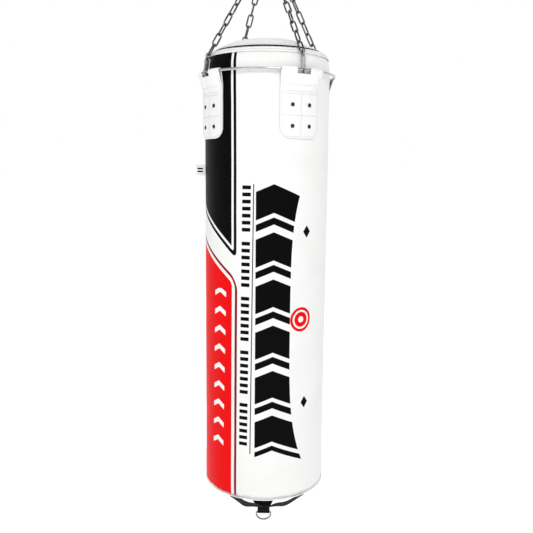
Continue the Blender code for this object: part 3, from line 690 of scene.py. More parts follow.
def under_tab(azimuth, z, margin=0.010):
    """Whether a tab lies over this place on the shell."""
    if not HOOP_Z - TAB_DROP - margin < z < HOOP_Z:
        return False
    half = math.degrees((TAB_WIDTH / 2 + margin) / RADIUS)
    return any(abs((azimuth - h + 180.0) % 360.0 - 180.0) < half for h in HANGERS)


def make_shell():
    columns = 144
    profile = [shoulder(i / 8) for i in range(9)]
    wall_top = profile[8][1]
    levels = 84
    profile += [(RADIUS, wall_top + (SEAM_Z - wall_top) * (i + 1) / levels) for i in range(levels)]
    rows, uv_rows = [], []
    for r, z in profile:
        row, uvs = [], []
        for j in range(columns):
            a = -180.0 + 360.0 * j / columns
            lump = smooth_noise(math.sin(math.radians(a)), math.cos(math.radians(a)), z * 2.2, 0.55, 3.7)
            fine = smooth_noise(math.sin(math.radians(a)), math.cos(math.radians(a)), z * 4.0, 0.22, 8.1)
            fall = min(1.0, (RIM_Z - z) / 0.06)
            p = radial(a) * (r - 0.0012 + (0.0011 * lump + 0.0005 * fine) * fall)
            row.append((p.x, p.y, z))
        for j in range(columns + 1):
            uvs.append((RADIUS * math.radians(-180.0 + 360.0 * j / columns), z - RIM_Z))
        rows.append(row)
        uv_rows.append(uvs)
    mesh = Mesh()
    mesh.add(*grid(rows, uv_rows, closed=True))
    obj = mesh.build("shell_skin", None, MATS["shell"])
    last = len(rows) - 1
    pinned = [i * columns + j for i in (0, 1, last) for j in range(columns)]
    for i, row in enumerate(rows):
        for j, p in enumerate(row):
            a = -180.0 + 360.0 * j / columns
            if under_tab(a, p[2], 0.0):
                pinned.append(i * columns + j)
    inflate(obj, sorted(set(pinned)), 2.2, 0.0035)

    def pucker(co):
        a = math.degrees(math.atan2(co.x, -co.y))
        out = radial(a)
        up_from_seam = co.z - SEAM_Z
        down_from_rim = RIM_Z - co.z
        x, y = math.sin(math.radians(a)), math.cos(math.radians(a))
        beat = math.sin(math.radians(a) * 62.0 + 3.0 * smooth_noise(x, y, 0.3, 0.4, 1.3))
        size = 0.55 + 0.6 * smooth_noise(x, y, 0.0, 0.2, 5.9)
        low = 0.0013 * size * beat * math.exp(-up_from_seam / 0.020)
        low -= 0.0022 * math.exp(-up_from_seam / 0.009)
        high = 0.0009 * size * beat * math.exp(-max(0.0, down_from_rim - HEM_HEIGHT) / 0.016)
        sag = 0.0011 * smooth_noise(x * 1.4, y * 1.4, co.z * 9.0, 0.30, 2.2) * math.exp(-up_from_seam / 0.16)
        crease = 0.0008 * smooth_noise(x * 2.5, y * 2.5, co.z * 14.0, 0.33, 6.1)
        crease *= math.exp(-down_from_rim / 0.2)
        total = low + sag + crease + (high if down_from_rim > 0.004 else 0.0)
        if under_tab(a, co.z):
            limit = RADIUS + 0.0003 - math.hypot(co.x, co.y)
            total = min(total, limit)
        return out * total

    displace(obj, pucker)
    pad(obj, "bag_shell")

    thread = Mesh()
    add_stitches(thread, ring_line(RADIUS - 0.0006, SEAM_Z + 0.0065))
    half = math.degrees(0.004 / RADIUS)
    for a in (180.0 - half, 180.0 + half):
        line = [radial(a) * (RADIUS + 0.0006) + UP * (RIM_Z - 0.05 - 0.012 * i) for i in range(98)]
        add_stitches(thread, [(p, radial(a)) for p in line])
    thread.build("shell_stitches", "bag", MATS["thread"])

    seam = Mesh()
    path = [radial(180.0) * (RADIUS + 0.0002) + UP * (RIM_Z - 0.046 - 0.0234 * i) for i in range(51)]
    seam.add(*sweep(path, 0.0012, sides=10))
    seam.build("shell_welt", "bag", MATS["tab"])


def make_hem():
    columns = 288
    steps = 7
    rows, uv_rows = [], []
    t_end = math.degrees(math.acos(1.0 - HEM_HEIGHT / SHOULDER_DROP)) / 90.0
    for i in range(steps + 1):
        t = t_end * i / steps
        row, uvs = [], []
        for j in range(columns + 1):
            a = 360.0 * j / columns
            x, y = math.sin(math.radians(a)), math.cos(math.radians(a))
            wave = math.sin(math.radians(a) * 74.0 + 4.0 * smooth_noise(x, y, 0.0, 0.3, 4.4))
            swell = (0.0005 + 0.00035 * wave) * min(1.0, i / 2) + 0.0006 * math.sin(math.pi * i / steps)
            r, z = shoulder(t, VINYL / 2 + 2 * GAP + swell)
            p = radial(a) * r
            if j < columns:
                row.append((p.x, p.y, z))
            uvs.append((RADIUS * math.radians(a), z - RIM_Z))
        rows.append(row)
        uv_rows.append(uvs)
    mesh = Mesh()
    mesh.add(*grid(rows, uv_rows, closed=True))
    obj = mesh.build("hem_band", "bag", MATS["hem"], ["top_hem"])
    solidify(obj, VINYL)
    thread = Mesh()
    for t in (t_end * 0.30, t_end * 0.80):
        r, z = shoulder(t, VINYL + GAP + 0.0017)
        add_stitches(thread, ring_line(r, z))
    thread.build("hem_stitches", "bag", MATS["thread"])


def disc_skin(name, node, material, edge, height, facing, waves, pressure, skirt=0.0):
    """Round stuffed panel on a polar grid, blown up and then gathered at its seam."""
    columns, rings = 120, 26
    rows = []
    if skirt:
        rows.append([tuple(radial(360.0 * j / columns) * edge + UP * (height(edge) + skirt))
                     for j in range(columns)])
    for i in range(rings):
        f = 1.0 - i / rings
        rows.append([tuple(radial(360.0 * j / columns) * (edge * f)
                           + UP * (height(edge * f) - facing * 0.002 * (1.0 - f)))
                     for j in range(columns)])
    verts, faces, _ = grid(rows, None, closed=True)
    verts.append((0.0, 0.0, height(0.0) - facing * 0.002))
    start = (len(rows) - 1) * columns
    faces += [(start + j, len(verts) - 1, start + (j + 1) % columns) for j in range(columns)]
    if facing > 0:
        faces = [face[::-1] for face in faces]
    mesh = Mesh()
    mesh.add(verts, faces)
    obj = mesh.build(name, None, material)
    fixed = 2 if skirt else 1
    inflate(obj, list(range(fixed * columns)), pressure, 0.0055)

    def gather(co):
        r = math.hypot(co.x, co.y)
        a = math.atan2(co.y, co.x)
        x, y = math.cos(a), math.sin(a)
        near = math.exp(-(edge - r) / 0.022) * min(1.0, (edge - r) / 0.006)
        beat = math.sin(waves * a + 5.0 * smooth_noise(x, y, 0.0, 0.35, 2.9))
        lumps = smooth_noise(co.x, co.y, 0.0, 0.055, 7.3) * min(1.0, (edge - r) / 0.03)
        fold = smooth_noise(co.x * 0.5, co.y * 2.0, 0.0, 0.03, 1.1) * min(1.0, (edge - r) / 0.03)
        return UP * (facing * (0.0021 * near * beat + 0.0019 * lumps + 0.0007 * fold))

    displace(obj, gather)
    pad(obj, node)
    return obj


def base_height(r):
    return SEAM_Z - BASE_DROP * (1.0 - (r / BASE_EDGE) ** BASE_POWER)


def surface_height(obj, x, y):
    """Height of an object's own mesh straight below a place."""
    tree = BVHTree.FromPolygons([v.co for v in obj.data.vertices], [p.vertices for p in obj.data.polygons])
    return [tree.ray_cast(Vector((a, b, 1.0)), Vector((0.0, 0.0, -1.0)))[0].z for a, b in zip(x, y)]


def make_lid_and_base():
    lid = disc_skin("lid_skin", "lid_panel", MATS["lid"], LID_EDGE,
                    lambda r: LID_Z + LID_RISE * (1.0 - (r / LID_EDGE) ** LID_POWER), 1.0, 46.0, 2.0)
    disc_skin("base_skin", "base_panel", MATS["base"], BASE_EDGE - 0.0016, base_height,
              -1.0, 58.0, 2.0, skirt=0.010)
    piping = Mesh()
    path = [radial(360.0 * i / 180) * (RADIUS - 0.0014) + UP * (SEAM_Z - 0.0004) for i in range(180)]
    piping.add(*sweep(path, 0.0016, closed=True, sides=10))
    piping.build("seam_piping", "bag", MATS["tab"])
    thread = Mesh()
    ring = [p for p, _ in ring_line(LID_EDGE - 0.007, LID_Z)]
    heights = surface_height(lid, [p.x for p in ring], [p.y for p in ring])
    add_stitches(thread, [(Vector((p.x, p.y, z + 0.0003)), UP) for p, z in zip(ring, heights)])
    thread.build("lid_stitches", "bag", MATS["thread"])


# ---- zip ---------------------------------------------------------------------------------
def make_zip():
    """Sloping zip between hem and lid: woven tape, two rows of teeth, a slider and its pull."""
    columns = 240
    slant = math.hypot(ZIP_RISE, ZIP_WIDTH)

    def on_band(f, lift):
        """Radius and height at a fraction of the way up the band, lifted off it."""
        return (ZIP_OUTER + (ZIP_INNER - ZIP_OUTER) * f + lift * math.sin(ZIP_SLOPE),
                RIM_Z + ZIP_RISE * f + lift * math.cos(ZIP_SLOPE))

    section = [(0.0, -ZIP_TAPE), (0.0, 0.0), (0.25, 0.0003), (0.42, 0.0001), (0.58, 0.0001), (0.75, 0.0003),
               (1.0, 0.0), (1.0, -ZIP_TAPE), (0.0, -ZIP_TAPE)]
    rows, uv_rows = [], []
    for f, lift in section:
        r, z = on_band(f, lift)
        rows.append([tuple(radial(360.0 * j / columns) * r + UP * z) for j in range(columns)])
        uv_rows.append([(RADIUS * math.radians(360.0 * j / columns), slant * f + lift)
                        for j in range(columns + 1)])
    mesh = Mesh()
    verts, faces, uvs = grid(rows, uv_rows, closed=True)
    mesh.add(verts, [face[::-1] for face in faces], [uv[::-1] for uv in uvs])
    mesh.build("zip_track", "bag", MATS["zip"], ["zip_tape"])

    teeth = Mesh()
    count = 400
    box = [(-1, -1), (1, -1), (1, 1), (-1, 1)]
    for k in range(count):
        a = 360.0 * k / count
        if abs(a - SLIDER_AZIMUTH) < 2.4:
            continue
        r, z = on_band(0.5 + (0.06 if k % 2 else -0.06), 0.0004)
        normal = radial(a) * math.sin(ZIP_SLOPE) + UP * math.cos(ZIP_SLOPE)
        place = frame_at(radial(a) * r + UP * z, tangent(a), normal.cross(tangent(a)), normal)
        verts = [(x * w, y * d, z) for z, w, d in ((0.0, 0.0010, 0.0017), (0.0005, 0.0010, 0.0017),
                                                   (0.0009, 0.0006, 0.0012)) for x, y in box]
        faces = [(b + i, b + (i + 1) % 4, b + 4 + (i + 1) % 4, b + 4 + i) for b in (0, 4) for i in range(4)]
        faces += [(3, 2, 1, 0), (8, 9, 10, 11)]
        teeth.add(verts, faces, None, place)
    teeth.build("zip_teeth", "bag", MATS["teeth"], sharp=35)

    out, along = radial(SLIDER_AZIMUTH), tangent(SLIDER_AZIMUTH)
    normal = out * math.sin(SLIDER_SLOPE) + UP * math.cos(SLIDER_SLOPE)
    centre = out * ((ZIP_OUTER + ZIP_INNER) / 2) + UP * (RIM_Z + SLIDER_RISE / 2) + normal * SLIDER_LIFT
    place = frame_at(centre, along, normal.cross(along), normal)
    slider = Mesh()
    outline = []
    for k in range(40):
        a = 2 * math.pi * k / 40
        waist = 1.0 - 0.18 * math.exp(-((math.cos(a) - 0.1) / 0.35) ** 2)
        outline.append((0.0064 * math.cos(a), 0.0044 * math.sin(a) * waist))
    rows = []
    for scale, z in ((0.90, 0.0), (1.0, 0.0003), (1.0, 0.0015), (0.94, 0.0020), (0.80, 0.0022),
                     (0.0, 0.0023)):
        rows.append([(x * scale, y * scale, z) for x, y in outline])
    verts, faces, _ = grid(rows, None, closed=True)
    faces = [face[::-1] for face in faces]
    faces.append(tuple(range(40))[::-1])
    slider.add(verts, faces, None, place)
    slider.add(*sweep([(x, 0, z) for x, z in arc((0.0, 0.0022), 0.0034, 0, 180, 20)], 0.0007, sides=10),
               None, place)
    slider.build("slider_body", "zip_slider", MATS["zip_metal"], ["zip_slider"])

    pull = Mesh()
    place = place @ Matrix.Translation((0, 0, 0.0034))
    loop = [(0.0, 0.0026, 0.0), (0.0, -0.0026, 0.0), (0.018, -0.0022, 0.0), (0.018, 0.0022, 0.0)]
    loop = resample(loop + loop[:1], 0.0006)[:-1]
    for _ in range(4):
        loop = loop * 0.5 + (np.roll(loop, 1, 0) + np.roll(loop, -1, 0)) * 0.25
    loop[:, 0] -= loop[:, 0].min()
    pull.add(*sweep(loop, 0.0008, closed=True, sides=10), None, place)
    pull.build("slider_pull", "zip_pull", MATS["zip_metal"], ["zip_pull"])


# ---- tabs --------------------------------------------------------------------------------
def tab_half_width(drop):
    above = TAB_DROP - drop
    if above >= TAB_CORNER:
        return TAB_WIDTH / 2
    above = max(above, 0.0)
    return TAB_WIDTH / 2 - TAB_CORNER + math.sqrt(TAB_CORNER ** 2 - (TAB_CORNER - above) ** 2)


def tab_line():
    """Middle of the folded strip as (radius, drop below the hoop), inner end first."""
    line = [(TAB_INNER, TAB_DROP), (TAB_INNER, TAB_CLOSES - 0.004)]
    line += [(HOOP_RADIUS + r, -z) for r, z in arc((0.0, 0.0), TAB_FOLD, 170.0, 8.0, 14)]
    line += [(TAB_OUTER, TAB_CLOSES + 0.006), (TAB_OUTER, TAB_DROP)]
    p = resample(line, 0.0024)
    eased = relaxed(p, 6)
    fold = np.hypot(p[:, 0] - HOOP_RADIUS, p[:, 1]) < 0.0075
    p[~fold] = eased[~fold]
    return p


def outer_radius(drop):
    """Radius of the tab's outer layer at a drop below the hoop."""
    top = HOOP_RADIUS + TAB_FOLD
    f = min(1.0, max(0.0, drop / (TAB_CLOSES + 0.006)))
    return top + (TAB_OUTER - top) * f


STITCH_LEVELS = (0.038, 0.054, 0.0605, 0.115)      # rows across a tab, below the hoop
TAB_EDGE = 0.0045
TAB_BOX_TOP = 0.0605


def stitch_distance(x, drop):
    """Distance from a place on a tab to its nearest sewn line."""
    half = tab_half_width(drop)
    found = [abs(half - abs(x) - TAB_EDGE)]
    found += [abs(drop - level) for level in STITCH_LEVELS]
    found.append(abs(TAB_DROP - TAB_EDGE - drop))
    if drop > TAB_BOX_TOP:
        found.append(abs(x))
    return min(found)


def tab_swell(x, drop, number):
    """How far a tab's outer layer stands out: it is drawn in at sewn lines and rivets."""
    swell = 0.0009 * (1.0 - math.exp(-(stitch_distance(x, drop) / 0.005) ** 2)) - 0.0003
    swell += 0.0008 * smooth_noise(x, drop, number, 0.02, 1.7) * (1.0 if drop < 0.09 else 0.4)
    for level in RIVET_ROWS:
        away = math.hypot(abs(x) - RIVET_SPACING / 2, drop - level)
        swell -= 0.0007 * math.exp(-(away / 0.0075) ** 2)
    return swell


def make_tabs():
    line = tab_line()
    edge = TAB_NOTCH[0] / TAB_WIDTH
    across = sorted([f for f in np.linspace(-1.0, 1.0, 49) if abs(abs(f) - edge) > 0.025] + [-edge, edge])
    lowest = int(np.argmin(line[:, 1]))
    for number, hanger in enumerate(HANGERS, 1):
        rows, uv_rows = [], []
        for i, (r, drop) in enumerate(line):
            half = tab_half_width(drop)
            row, uvs = [], []
            for f in across:
                x = f * half
                a = hanger + math.degrees(x / (RADIUS + 0.003))
                swell = tab_swell(x, drop, number) if i > lowest and drop > 0.008 else 0.0
                p = radial(a) * (r + swell)
                row.append((p.x, p.y, HOOP_Z - drop))
                uvs.append((x, -drop if i > lowest else drop))
            rows.append(row)
            uv_rows.append(uvs)
        verts, faces, uvs = grid(rows, uv_rows)
        count = len(across)
        kept = []
        for n, face in enumerate(faces):
            i, j = divmod(n, count - 1)
            middle = (across[j] + across[j + 1]) / 2 * TAB_WIDTH / 2
            drop = (line[i][1] + line[i + 1][1]) / 2
            if not (abs(middle) < TAB_NOTCH[0] / 2 and drop < TAB_NOTCH[1]):
                kept.append(n)
        used = sorted({v for n in kept for v in faces[n]})
        index = {v: k for k, v in enumerate(used)}
        mesh = Mesh()
        mesh.add([verts[v] for v in used], [tuple(index[v] for v in faces[n])[::-1] for n in kept],
                 [uvs[n][::-1] for n in kept])
        obj = mesh.build(f"tab_{number}_skin", "bag", MATS["tab"], [f"tab_{number}"])
        solidify(obj, TAB_VINYL)

        thread = Mesh()

        def on(x, drop):
            a = hanger + math.degrees(x / (RADIUS + 0.003))
            face = outer_radius(drop) + TAB_VINYL / 2 + tab_swell(x, drop, number) + 0.0003
            return (radial(a) * face + UP * (HOOP_Z - drop), radial(a))

        for level in STITCH_LEVELS:
            half = TAB_WIDTH / 2 - TAB_EDGE - 0.002
            add_stitches(thread, [on(-half + 2 * half * k / 24, level) for k in range(25)])
        add_stitches(thread, [on(0.0, TAB_BOX_TOP + 0.003 + 0.106 * k / 20) for k in range(21)])
        low = TAB_DROP - TAB_EDGE
        inset = TAB_CORNER - TAB_EDGE
        half = TAB_WIDTH / 2 - TAB_EDGE
        border = [(half, 0.016 + (low - inset - 0.016) * k / 20) for k in range(21)]
        border += [(half - inset + inset * math.cos(a), low - inset + inset * math.sin(a))
                   for a in (math.pi / 2 * k / 8 for k in range(1, 9))]
        border += [((half - inset) * (1.0 - k / 6), low) for k in range(1, 6)]
        border += [(-x, d) for x, d in reversed(border)]
        add_stitches(thread, [on(x, d) for x, d in border])
        thread.build(f"tab_{number}_stitches", "bag", MATS["thread"])

        rivets = Mesh()
        dome = [(RIVET_HEAD * math.sin(math.radians(a)), 0.0030 * math.cos(math.radians(a)))
                for a in (0, 12, 24, 36, 48, 60, 72, 82, 90)]
        dome += [(RIVET_HEAD * 0.97, -0.0004), (0.0022, -0.0004), (0.0022, -0.0072), (0.0045, -0.0072),
                 (0.0043, -0.0080), (0.0, -0.0080)]
        step = math.degrees(RIVET_SPACING / 2 / (RADIUS + 0.004))
        for level in RIVET_ROWS:
            for side in (-1, 1):
                a = hanger + side * step
                centre = radial(a) * RIVET_FACE + UP * (HOOP_Z - level)
                rivets.add(*lathe(dome, 28), None, frame_at(centre, tangent(a), UP, radial(a)))
        rivets.build(f"tab_{number}_rivets", "bag", MATS["rivet"],
                     [f"tab_{number}_rivet_{k}" for k in range(1, 5)], sharp=50)


# ---- hoop, snap hooks, chains ------------------------------------------------------------
def make_hoop():
    mesh = Mesh()
    count = 240
    weld = 255.0
    azimuths = [360.0 * i / count for i in range(count)]
    path = [radial(a) * HOOP_RADIUS + UP * HOOP_Z for a in azimuths]
    radii = [HOOP_ROD * (1.0 + 0.10 * math.exp(-((a - weld) / 1.6) ** 2)) for a in azimuths]
    mesh.add(*sweep(path, radii, closed=True, sides=20))
    mesh.build("hoop_rod", "bag", MATS["hoop"], ["hoop_ring"])


def hanger_frame(azimuth):
    out = radial(azimuth)
    lean = math.radians(SNAP_TILT)
    up = UP * math.cos(lean) - out * math.sin(lean)
    across = UP.cross(out)
    return frame_at(out * HOOP_RADIUS + UP * HOOP_Z, across.cross(up), across, up)


def make_snap_hooks():
    rise = SNAP_BEND - SNAP_WIRE - HOOP_ROD - GAP
    path = [(SNAP_BEND, rise + SNAP_NOSE)] + arc((0, rise), SNAP_BEND, 0, -180, 22)
    path += arc((0, SNAP_LEG), SNAP_BEND, 180, 0, 22) + [(SNAP_BEND, SNAP_LEG - SNAP_STUB)]
    path = resample([(x, 0, z) for x, z in path], 0.0011)
    centre = SNAP_LEG + SNAP_BEND + SNAP_EYE
    circle = [(x, 0, z) for x, z in arc((0, centre), SNAP_EYE, 0, 352.5, 47)]
    pivot_z = SNAP_LEG - SNAP_STUB - GAP - GATE_WIRE
    gate_end = rise + SNAP_NOSE + GAP
    ball = [(GATE_WIRE * math.sin(math.radians(a)), GATE_WIRE * math.cos(math.radians(a)))
            for a in (0, 20, 40, 60, 80, 90)]
    reach = gate_end - pivot_z
    bar = ball + [(GATE_WIRE * thin, reach + rise_up) for thin, rise_up in
                  ((1.0, 0.0046), (0.8, 0.0042), (0.8, 0.0028), (1.0, 0.0024), (1.0, 0.0003), (0.85, 0.0),
                   (0.0, 0.0))]
    for number, hanger in enumerate(HANGERS, 1):
        place = hanger_frame(hanger)
        hook = Mesh()
        hook.add(*sweep(path, SNAP_WIRE, sides=16), None, place)
        hook.add(*sweep(circle, SNAP_WIRE, closed=True, sides=16), None, place)
        hook.build(f"snap_{number}_hook", "bag", MATS["steel"], [f"snap_hook_{number}"])
        gate = Mesh()
        gate.add(*lathe(bar, 20), None, place @ Matrix.Translation((SNAP_BEND, 0, pivot_z)))
        gate.build(f"snap_{number}_gate", f"snap_gate_{number}", MATS["steel"],
                   [f"snap_gate_{number}"], sharp=40)


def link_path(below, above):
    """Centre line of a link whose crowns lie below and above its middle."""
    r = CHAIN_WIDTH / 2 - CHAIN_WIRE
    top = arc((0, above - r), r, 0, 180, 16)
    bottom = arc((0, -(below - r)), r, 180, 360, 16)
    return [(x, 0.0, z) for x, z in top + bottom]


def ring_frame():
    return frame_at(Vector((0, 0, RING_Z)), radial(RING_AZIMUTH), UP.cross(radial(RING_AZIMUTH)), UP)


def make_chains():
    ring = ring_frame()
    for n, hanger in enumerate(HANGERS):
        eye_top = SNAP_LEG + SNAP_BEND + 2 * SNAP_EYE
        low = hanger_frame(hanger) @ Vector((0, 0, eye_top - SNAP_WIRE - CHAIN_WIRE - GAP))
        side = 1.0 if radial(hanger).dot(radial(RING_AZIMUTH)) > 0 else -1.0
        seat = math.radians(RING_SEATS[n % 2]) * side
        wire = ring @ Vector((RING_RADIUS * math.sin(seat), 0, -RING_RADIUS * math.cos(seat)))
        high = wire + (wire - low).normalized() * (RING_WIRE + CHAIN_WIRE + GAP)
        along_ring = ring.to_3x3() @ Vector((math.cos(seat), 0, math.sin(seat)))
        axis = (high - low).normalized()
        span = (high - low).length
        count = round((span - 2 * CHAIN_WIRE) / CHAIN_PITCH)
        pitch = (span + (count - 1) * (2 * CHAIN_WIRE - CHAIN_PRESS)) / count
        step = (span - pitch) / (count - 1)
        first = tangent(hanger)
        first = (first - axis * first.dot(axis)).normalized()
        second = axis.cross(first)
        wanted = axis.cross(along_ring).normalized()
        turn = math.degrees(math.atan2(wanted.dot(second), wanted.dot(first)))
        twist = (turn - 90.0 * (count - 1) + 90.0) % 180.0 - 90.0
        mesh = Mesh()
        for k in range(count):
            angle = math.radians(90.0 * k + twist * k / (count - 1))
            across = first * math.cos(angle) + second * math.sin(angle)
            centre = low + axis * (pitch / 2 + step * k)
            longer = pitch / 2 + CHAIN_PRESS / 2
            path = link_path(pitch / 2 if k == 0 else longer, pitch / 2 if k == count - 1 else longer)
            radii = [CHAIN_WIRE * (1.0 + 0.13 * math.exp(-((i - 33.5) / 0.8) ** 2)) for i in range(34)]
            path = path + [tuple((np.array(path[-1]) + np.array(path[0])) / 2)]
            radii = radii + [CHAIN_WIRE * 1.16]
            mesh.add(*sweep(path, radii, closed=True, sides=14), None,
                     frame_at(centre, across, axis.cross(across), axis))
        mesh.build(f"chain_{n + 1}_links", "bag", MATS["chain"], [f"chain_strand_{n + 1}"])


def ring_path(radius, steps=72):
    return [(radius * math.cos(2 * math.pi * i / steps), 0.0, radius * math.sin(2 * math.pi * i / steps))
            for i in range(steps)]


def make_top_fittings():
    ring = Mesh()
    ring.add(*sweep(ring_path(RING_RADIUS, 96), RING_WIRE, closed=True, sides=18), None, ring_frame())
    ring.build("ring_round", "bag", MATS["steel"], ["gather_ring"])

    floor = SWIVEL_BOTTOM + 0.004
    top = SWIVEL_TOP - 0.004 - GAP
    housing = [(0.009, top), (0.0107, top), (0.0114, top - 0.0004), (0.012, top - 0.0015),
               (0.012, top - 0.0060), (0.0114, top - 0.0066), (0.0114, top - 0.0076), (0.012, top - 0.0082),
               (0.012, SWIVEL_BOTTOM + 0.0032), (0.0112, SWIVEL_BOTTOM + 0.0014),
               (0.0095, SWIVEL_BOTTOM + 0.0003), (0.0088, SWIVEL_BOTTOM), (0.0043, SWIVEL_BOTTOM),
               (0.0043, floor), (0.009, floor), (0.009, top)]
    barrel = Mesh()
    barrel.add(*lathe(housing, 64))
    barrel.build("swivel_barrel", "swivel_upper", MATS["steel"], ["swivel_housing"],
                 sharp=35)

    head = floor + 0.0036 + 2 * GAP
    cap = Mesh()
    cap.add(*lathe([(0.0, SWIVEL_TOP + 0.0002), (0.0060, SWIVEL_TOP), (0.0098, SWIVEL_TOP - 0.0002),
                    (0.0114, SWIVEL_TOP - 0.0008), (0.012, SWIVEL_TOP - 0.0019), (0.012, SWIVEL_TOP - 0.004),
                    (0.0087, SWIVEL_TOP - 0.004), (0.0087, head + 0.0046), (0.0, head + 0.0046)], 64))
    upper = frame_at(Vector((0, 0, UPPER_EYE_Z)), Vector((0, 1, 0)), Vector((-1, 0, 0)), UP)
    cap.add(*sweep(ring_path(EYE_RADIUS), EYE_WIRE, closed=True, sides=18), None, upper)
    cap.build("swivel_top_eye", "swivel_upper", MATS["steel"], ["swivel_cap"], sharp=40)

    neck_end = LOWER_EYE_Z + EYE_RADIUS - 0.001
    stud = Mesh()
    stud.add(*lathe([(0.0, head + 0.004), (0.0084, head + 0.004), (0.0084, head), (0.004, head),
                     (0.004, neck_end + 0.003), (0.0046, neck_end + 0.0012), (0.0040, neck_end),
                     (0.0, neck_end)], 48))
    lower = frame_at(Vector((0, 0, LOWER_EYE_Z)), radial(RING_AZIMUTH - 90), radial(RING_AZIMUTH), UP)
    stud.add(*sweep(ring_path(EYE_RADIUS), EYE_WIRE, closed=True, sides=18), None, lower)
    stud.build("swivel_low_eye", "swivel_lower", MATS["steel"], ["swivel_stud"], sharp=40)

    low = HOOK_BOTTOM + HOOK_BEND
    high = HOOK_BOTTOM + HOOK_LENGTH - HOOK_BEND
    nose, stub = high - 0.004, low + 0.004
    path = [(HOOK_BEND, nose)] + arc((0, high), HOOK_BEND, 0, 180, 30)
    path += arc((0, low), HOOK_BEND, 180, 360, 30) + [(HOOK_BEND, stub)]
    path = resample([(x, 0, z) for x, z in path], 0.0017)
    hook = Mesh()
    hook.add(*sweep(path, HOOK_WIRE, sides=20, round_ends=False))
    hook.build("hook_body", "hook", MATS["steel"], ["top_hook"], sharp=50)
    pivot_z = stub + GAP + HOOK_GATE_WIRE
    reach = nose - GAP - pivot_z
    w = HOOK_GATE_WIRE
    ball = [(w * math.sin(math.radians(a)), -w * math.cos(math.radians(a))) for a in (90, 80, 60, 40, 20, 0)]
    bar = [(0.0, reach), (w * 0.85, reach), (w, reach - 0.0004), (w, reach - 0.003),
           (w * 0.82, reach - 0.0035), (w * 0.82, reach - 0.0050), (w, reach - 0.0055)] + ball
    gate = Mesh()
    gate.add(*lathe(bar, 28), None, Matrix.Translation((HOOK_BEND, 0, pivot_z)))
    gate.build("hook_gate_bar", "hook_gate", MATS["steel"], ["top_hook_gate"], sharp=40)


# ---- webbing and ring under the base -----------------------------------------------------
def strap_z(r):
    return SEAM_Z - 0.0018 - STRAP_DROP * (1.0 - (r / RADIUS) ** STRAP_POWER)


def strip(mesh, points, across, width, thickness, rolls=None):
    """Flat webbing along points: across is its width direction, turned by a roll at each point."""
    p = np.array([tuple(q) for q in points])
    t = unit(np.gradient(p, axis=0))
    wide = np.tile(np.array(tuple(across)), (len(p), 1))
    up = unit(np.cross(t, wide))
    if rolls is not None:
        c, s = np.cos(rolls)[:, None], np.sin(rolls)[:, None]
        wide, up = wide * c + up * s, up * c - wide * s
    along = np.concatenate([[0.0], np.cumsum(np.linalg.norm(np.diff(p, axis=0), axis=1))])
    section = []
    half, h = width / 2, thickness / 2
    for k in range(13):
        x = -half + 0.0006 + (width - 0.0012) * k / 12
        section.append((x, h - (STRAP_RIB if k % 2 else 0.0)))
    section += [(half - 0.0001, h * 0.6), (half, 0.0), (half - 0.0001, -h * 0.6)]
    for k in range(13):
        x = half - 0.0006 - (width - 0.0012) * k / 12
        section.append((x, -h + (STRAP_RIB if k % 2 else 0.0)))
    section += [(-half + 0.0001, -h * 0.6), (-half, 0.0), (-half + 0.0001, h * 0.6)]
    rows, uv_rows = [], []
    for i in range(len(p)):
        rows.append([tuple(p[i] + wide[i] * x + up[i] * z) for x, z in section])
        uv_rows.append([(x, float(along[i])) for x, _ in section + section[:1]])
    verts, faces, uvs = grid(rows, uv_rows, closed=True)
    n = len(section)
    faces.append(tuple(range(n)))
    faces.append(tuple((len(rows) - 1) * n + k for k in range(n))[::-1])
    uvs += [[(x, 0.0) for x, _ in section]] + [[(x, 0.0) for x, _ in section][::-1]]
    mesh.add(verts, faces, uvs)


